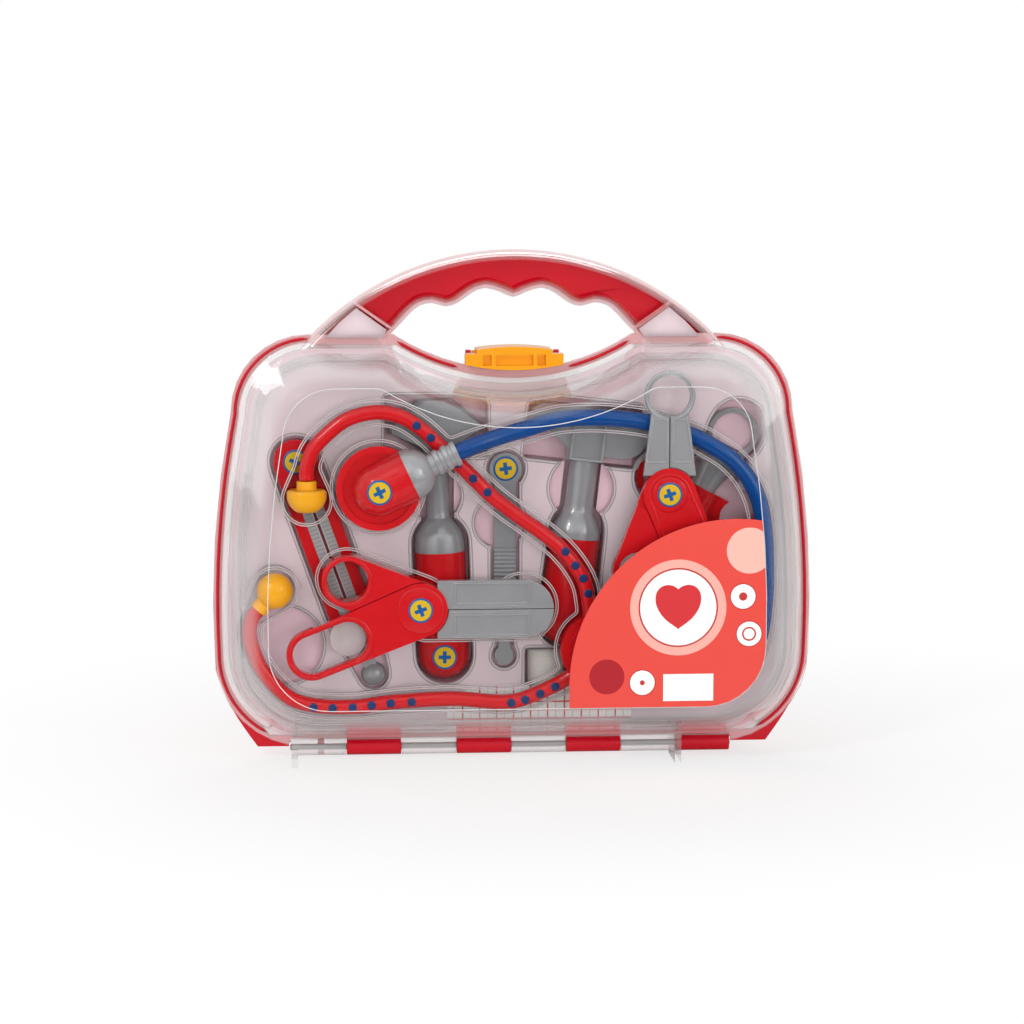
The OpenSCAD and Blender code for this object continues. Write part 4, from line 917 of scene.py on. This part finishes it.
# %% Gauze
strip_width, strip_thick = 21.5, 0.24
roll_middle, roll_low, roll_bore, roll_out, turns = (16.6, 11.6), 28.6, 2.4, 9.2, 17
steps = turns * 44
angle = np.linspace(0, 2 * np.pi * turns, steps)
share = angle / angle[-1]
radius = roll_bore + 0.2 + (roll_out - roll_bore - 0.4) * share
wander = 0.12 * np.sin(angle * 0.37) + 0.06 * np.sin(angle * 1.9)
walked = np.concatenate([[0], np.cumsum(0.5 * (radius[1:] + radius[:-1]) * np.diff(angle))])
section = np.array([
    (-0.5, 0), (0.5, 0), (0.5, 0.33), (0.5, 0.67), (0.5, 1), (-0.5, 1), (-0.5, 0.67), (-0.5, 0.33),
])
across = radius[:, None] + strip_thick * section[None, :, 0]
up, edge_room = section[None, :, 1], 0.15
height = roll_low + edge_room + (strip_width - 2 * edge_room) * up + wander[:, None] * (0.5 - up)
gauze_grid = np.stack([
    roll_middle[0] + across * np.cos(angle)[:, None], roll_middle[1] + across * np.sin(angle)[:, None], height
], -1)
run = np.broadcast_to(walked[:, None], height.shape)
gauze_uv = np.stack([run / strip_width, (height - roll_low) / strip_width], -1)
for end in (0, -1):
    gauze_grid[end] = gauze_grid[end].mean(0)

gauze, tree, place = new_material("woven_cotton_gauze")
spot = add(tree, "ShaderNodeUVMap", {"uv_map": "print"}).outputs[0]
axes = add(tree, "ShaderNodeSeparateXYZ", Vector=spot)
threads = []
thread_mm = 1.1
for axis in ("X", "Y"):
    turn = reckon(tree, "MULTIPLY", axes.outputs[axis], math.pi * strip_width / thread_mm)
    sine = reckon(tree, "SINE", turn)
    threads.append(reckon(tree, "ABSOLUTE", sine))
weave = reckon(tree, "MAXIMUM", threads[0], threads[1])
fuzz = add(tree, "ShaderNodeTexNoise", Vector=place, Scale=per(2.5), Detail=3.0).outputs["Fac"]
thread_ink = blend(tree, fuzz, "FFFCF8", "F4ECE2")
ink = blend(tree, weave, "B9AC9E", thread_ink)
cloth = add(
    tree,
    "ShaderNodeBsdfPrincipled",
    Base_Color=ink,
    Roughness=0.9,
    Sheen_Weight=0.3,
    Normal=add(tree, "ShaderNodeBump", Height=weave, Distance=0.15 * mm).outputs[0],
)
wear(gauze, tree, cloth)
roll = build("gauze_strip", [gauze_grid], gauze, "case_back", stands_for=["bandage_roll"], uv=gauze_uv)
print("gauze length in mm:", round(float(walked[-1])))

# %% [markdown]
# ## Hinge rod
#
# The steel rod is knurled at both ends, so that it grips the plastic. The knurl is two sets of
# fine spiral grooves, so the radius falls where either of two slanting waves is low.

# %% Knurled rod
rod_radius, rod_left, rod_right, rod_z = 1.5, -108.6, 106.6, 4.5
knurl_long, knurl_deep, knurl_starts, knurl_twist = 30.0, 0.22, 8, 2.4
x = np.linspace(rod_left, rod_right, 860)[:, None]
turn = np.linspace(0, 2 * np.pi, 64, endpoint=False)[None, :]
one_way, other_way = (np.sin(knurl_starts * turn + way * knurl_twist * x) for way in (1, -1))
cuts = np.abs(one_way) * np.abs(other_way)
knurled = (x < rod_left + knurl_long) | (x > rod_right - knurl_long)
radius = rod_radius - np.where(knurled, knurl_deep * (1 - cuts), 0.0)
radius[[0, -1]] = 0
rod = np.stack([x + 0 * turn, radius * np.cos(turn), rod_z + radius * np.sin(turn)], -1)
build("knurled_rod", [rod], steel_rod, "case_back", stands_for=["hinge_pin"])

# %% [markdown]
# ## Which finish goes on which solid
#
# Each CAD solid keeps its shape and gets the finish of its real piece.

# %% Dress the CAD solids
finishes = {
    red_shell: ["back_shell"],
    clear_polystyrene: ["front_cover"],
    yellow_abs: ["latch"],
    steel_rod: ["latch_pin"],
    label_print: ["label"],
    card_print: ["chart_card"],
    scale_print: ["thermometer_scale"],
    clear_pvc: ["front_tray"],
    frosted_pvc: ["rear_tray"],
    yellow_vinyl: ["ear_tip_upper", "ear_tip_lower"],
    red_abs: [
        "headset_junction", "chest_piece", "scissors_handle_front", "scissors_handle_rear",
        "forceps_handle_front", "forceps_handle_rear", "thermometer_body", "otoscope_handle",
        "hammer_handle", "syringe_body",
    ],
    silver_abs: [
        "chest_neck", "scissors_blade_front", "scissors_blade_rear", "forceps_jaw_front",
        "forceps_jaw_rear", "thermometer_tip", "otoscope_head", "spatula", "hammer_head",
        "syringe_plunger",
    ],
}
for finish, names in finishes.items():
    for name in names:
        nodes[name].data.materials.clear()
        nodes[name].data.materials.append(finish)
print("dressed", sum(len(names) for names in finishes.values()), "of", len(nodes), "nodes")

# %% [markdown]
# ## Studio
#
# The case stands on a white sweep in soft light. A long lens from a metre and a half away sees
# it a little from the left and a little from above.


# %% Camera and lights
def look_from(azimuth, elevation, distance, target, lens):
    """The camera's place is the target plus distance along the view's own direction back."""
    a, e = math.radians(azimuth), math.radians(elevation)
    back = np.array([math.sin(a) * math.cos(e), -math.cos(a) * math.cos(e), math.sin(e)])
    camera = bpy.data.objects.new("camera", bpy.data.cameras.new("camera"))
    camera.location = np.array(target) + distance * back
    camera.rotation_euler = (math.radians(90) - e, 0, a)
    camera.data.lens = lens
    camera.data.sensor_width = 36
    bpy.context.scene.collection.objects.link(camera)
    bpy.context.scene.camera = camera


def softbox(name, place, target, width, height, watts, mirrored=True):
    """A large area lamp that faces its target. One that isn't mirrored makes no highlights."""
    lamp = bpy.data.lights.new(name, "AREA")
    lamp.shape = "RECTANGLE"
    lamp.size, lamp.size_y, lamp.energy = width, height, watts
    box = bpy.data.objects.new(name, lamp)
    box.visible_glossy = mirrored
    box.location = place
    away = np.array(place, float) - np.array(target, float)
    turn = math.atan2(away[0], -away[1])
    tilt = math.acos(away[2] / np.linalg.norm(away))
    box.rotation_euler = (tilt, 0, turn)
    bpy.context.scene.collection.objects.link(box)


look_from(-4.0, 7.0, 1.5, (-0.0005, 0.0, 0.1187), 109.0)
middle = (0.0, 0.0, 0.12)
softbox("key", (-0.9, -1.0, 1.1), middle, 0.24, 0.42, 5)
softbox("fill", (1.1, -1.1, 0.6), middle, 0.3, 0.7, 2)
softbox("front", (0.1, -2.0, 0.3), middle, 1.4, 0.45, 19, mirrored=False)
softbox("back", (0.0, 1.3, 1.2), middle, 1.2, 0.4, 4)
softbox("shoulder", (-1.2, 1.0, 1.0), middle, 0.3, 0.6, 1.8)

# %% [markdown]
# Photographers of glass stand dark cards out of the picture, so that the clear walls mirror
# something dark beside the bright studio and get their outlines. These cards are seen by
# mirrored light alone, so they take no light from the object.


# %% Dark cards
def mirror_card(name, corners):
    """A card that only glossy rays see."""
    mesh = bpy.data.meshes.new(name)
    mesh.from_pydata(corners, [], [(0, 1, 2, 3)])
    mesh.materials.append(dark_card)
    card = bpy.data.objects.new(name, mesh)
    bpy.context.scene.collection.objects.link(card)
    for kind in ("camera", "diffuse", "transmission", "shadow"):
        setattr(card, "visible_" + kind, False)


dark_card, tree, place = new_material("matt_card_dark")
wear(dark_card, tree, add(tree, "ShaderNodeBsdfDiffuse", Color=linear("3A3234")))
half, away, near, low, high = 0.6, -2.6, -0.25, 0.002, 1.0
mirror_card("card_floor", [(-half, away, low), (half, away, low), (half, near, low), (-half, near, low)])
mirror_card("card_front", [(-half, away, 0), (half, away, 0), (half, away, high), (-half, away, high)])
for side in (-1, 1):
    x = side * 1.5
    mirror_card("card_side", [(x, -0.6, 0.0), (x, -0.45, 0.0), (x, -0.45, 1.2), (x, -0.6, 1.2)])

# %% [markdown]
# What the camera sees of the paper is part matt surface, which takes the soft shadow, and part
# white glow. The glow's share rises from 55 per cent at the case to the whole half a metre away,
# so that the paper runs into the white background without an edge. The surroundings are white
# where they are seen or mirrored, and dimmer as a source of light.

# %% Floor and surroundings
glow_from, glow_full = 0.16, 0.5
floor_mesh = bpy.data.meshes.new("floor")
floor_mesh.from_pydata([(-9, -9, 0), (9, -9, 0), (9, 9, 0), (-9, 9, 0)], [], [(0, 1, 2, 3)])
floor = bpy.data.objects.new("floor", floor_mesh)
bpy.context.scene.collection.objects.link(floor)
paper, tree, place = new_material("matt_paper_white")
away = add(tree, "ShaderNodeVectorMath", {"operation": "LENGTH"}, _0=place).outputs["Value"]
outwards = {"Value": away, "From_Min": glow_from, "From_Max": glow_full}
far = add(tree, "ShaderNodeMapRange", **outwards, To_Min=0.55).outputs[0]
seen = add(tree, "ShaderNodeLightPath").outputs["Is Camera Ray"]
share = reckon(tree, "MULTIPLY", far, seen)
matt = add(tree, "ShaderNodeBsdfDiffuse", Color=linear("F6F6F6")).outputs[0]
level = add(tree, "ShaderNodeMapRange", **outwards, To_Min=1.2, To_Max=1.0).outputs[0]
lit = add(tree, "ShaderNodeEmission", Color=linear("FFFFFF"), Strength=level).outputs[0]
wear(paper, tree, add(tree, "ShaderNodeMixShader", _0=share, _1=matt, _2=lit))
floor_mesh.materials.append(paper)

world = bpy.data.worlds.new("studio")
bpy.context.scene.world = world
world.use_nodes = True
tree = world.node_tree
tree.nodes.clear()
path = add(tree, "ShaderNodeLightPath").outputs
shown = reckon(tree, "MAXIMUM", path["Is Camera Ray"], path["Is Glossy Ray"])
shown = reckon(tree, "MAXIMUM", shown, path["Is Transmission Ray"])
glow = add(tree, "ShaderNodeMapRange", Value=shown, To_Min=0.42, To_Max=1.0).outputs[0]
sky = add(tree, "ShaderNodeBackground", Color=linear("FFFFFF"), Strength=glow)
tree.links.new(sky.outputs[0], add(tree, "ShaderNodeOutputWorld").inputs[0])
bpy.context.scene.view_settings.view_transform = "Standard"
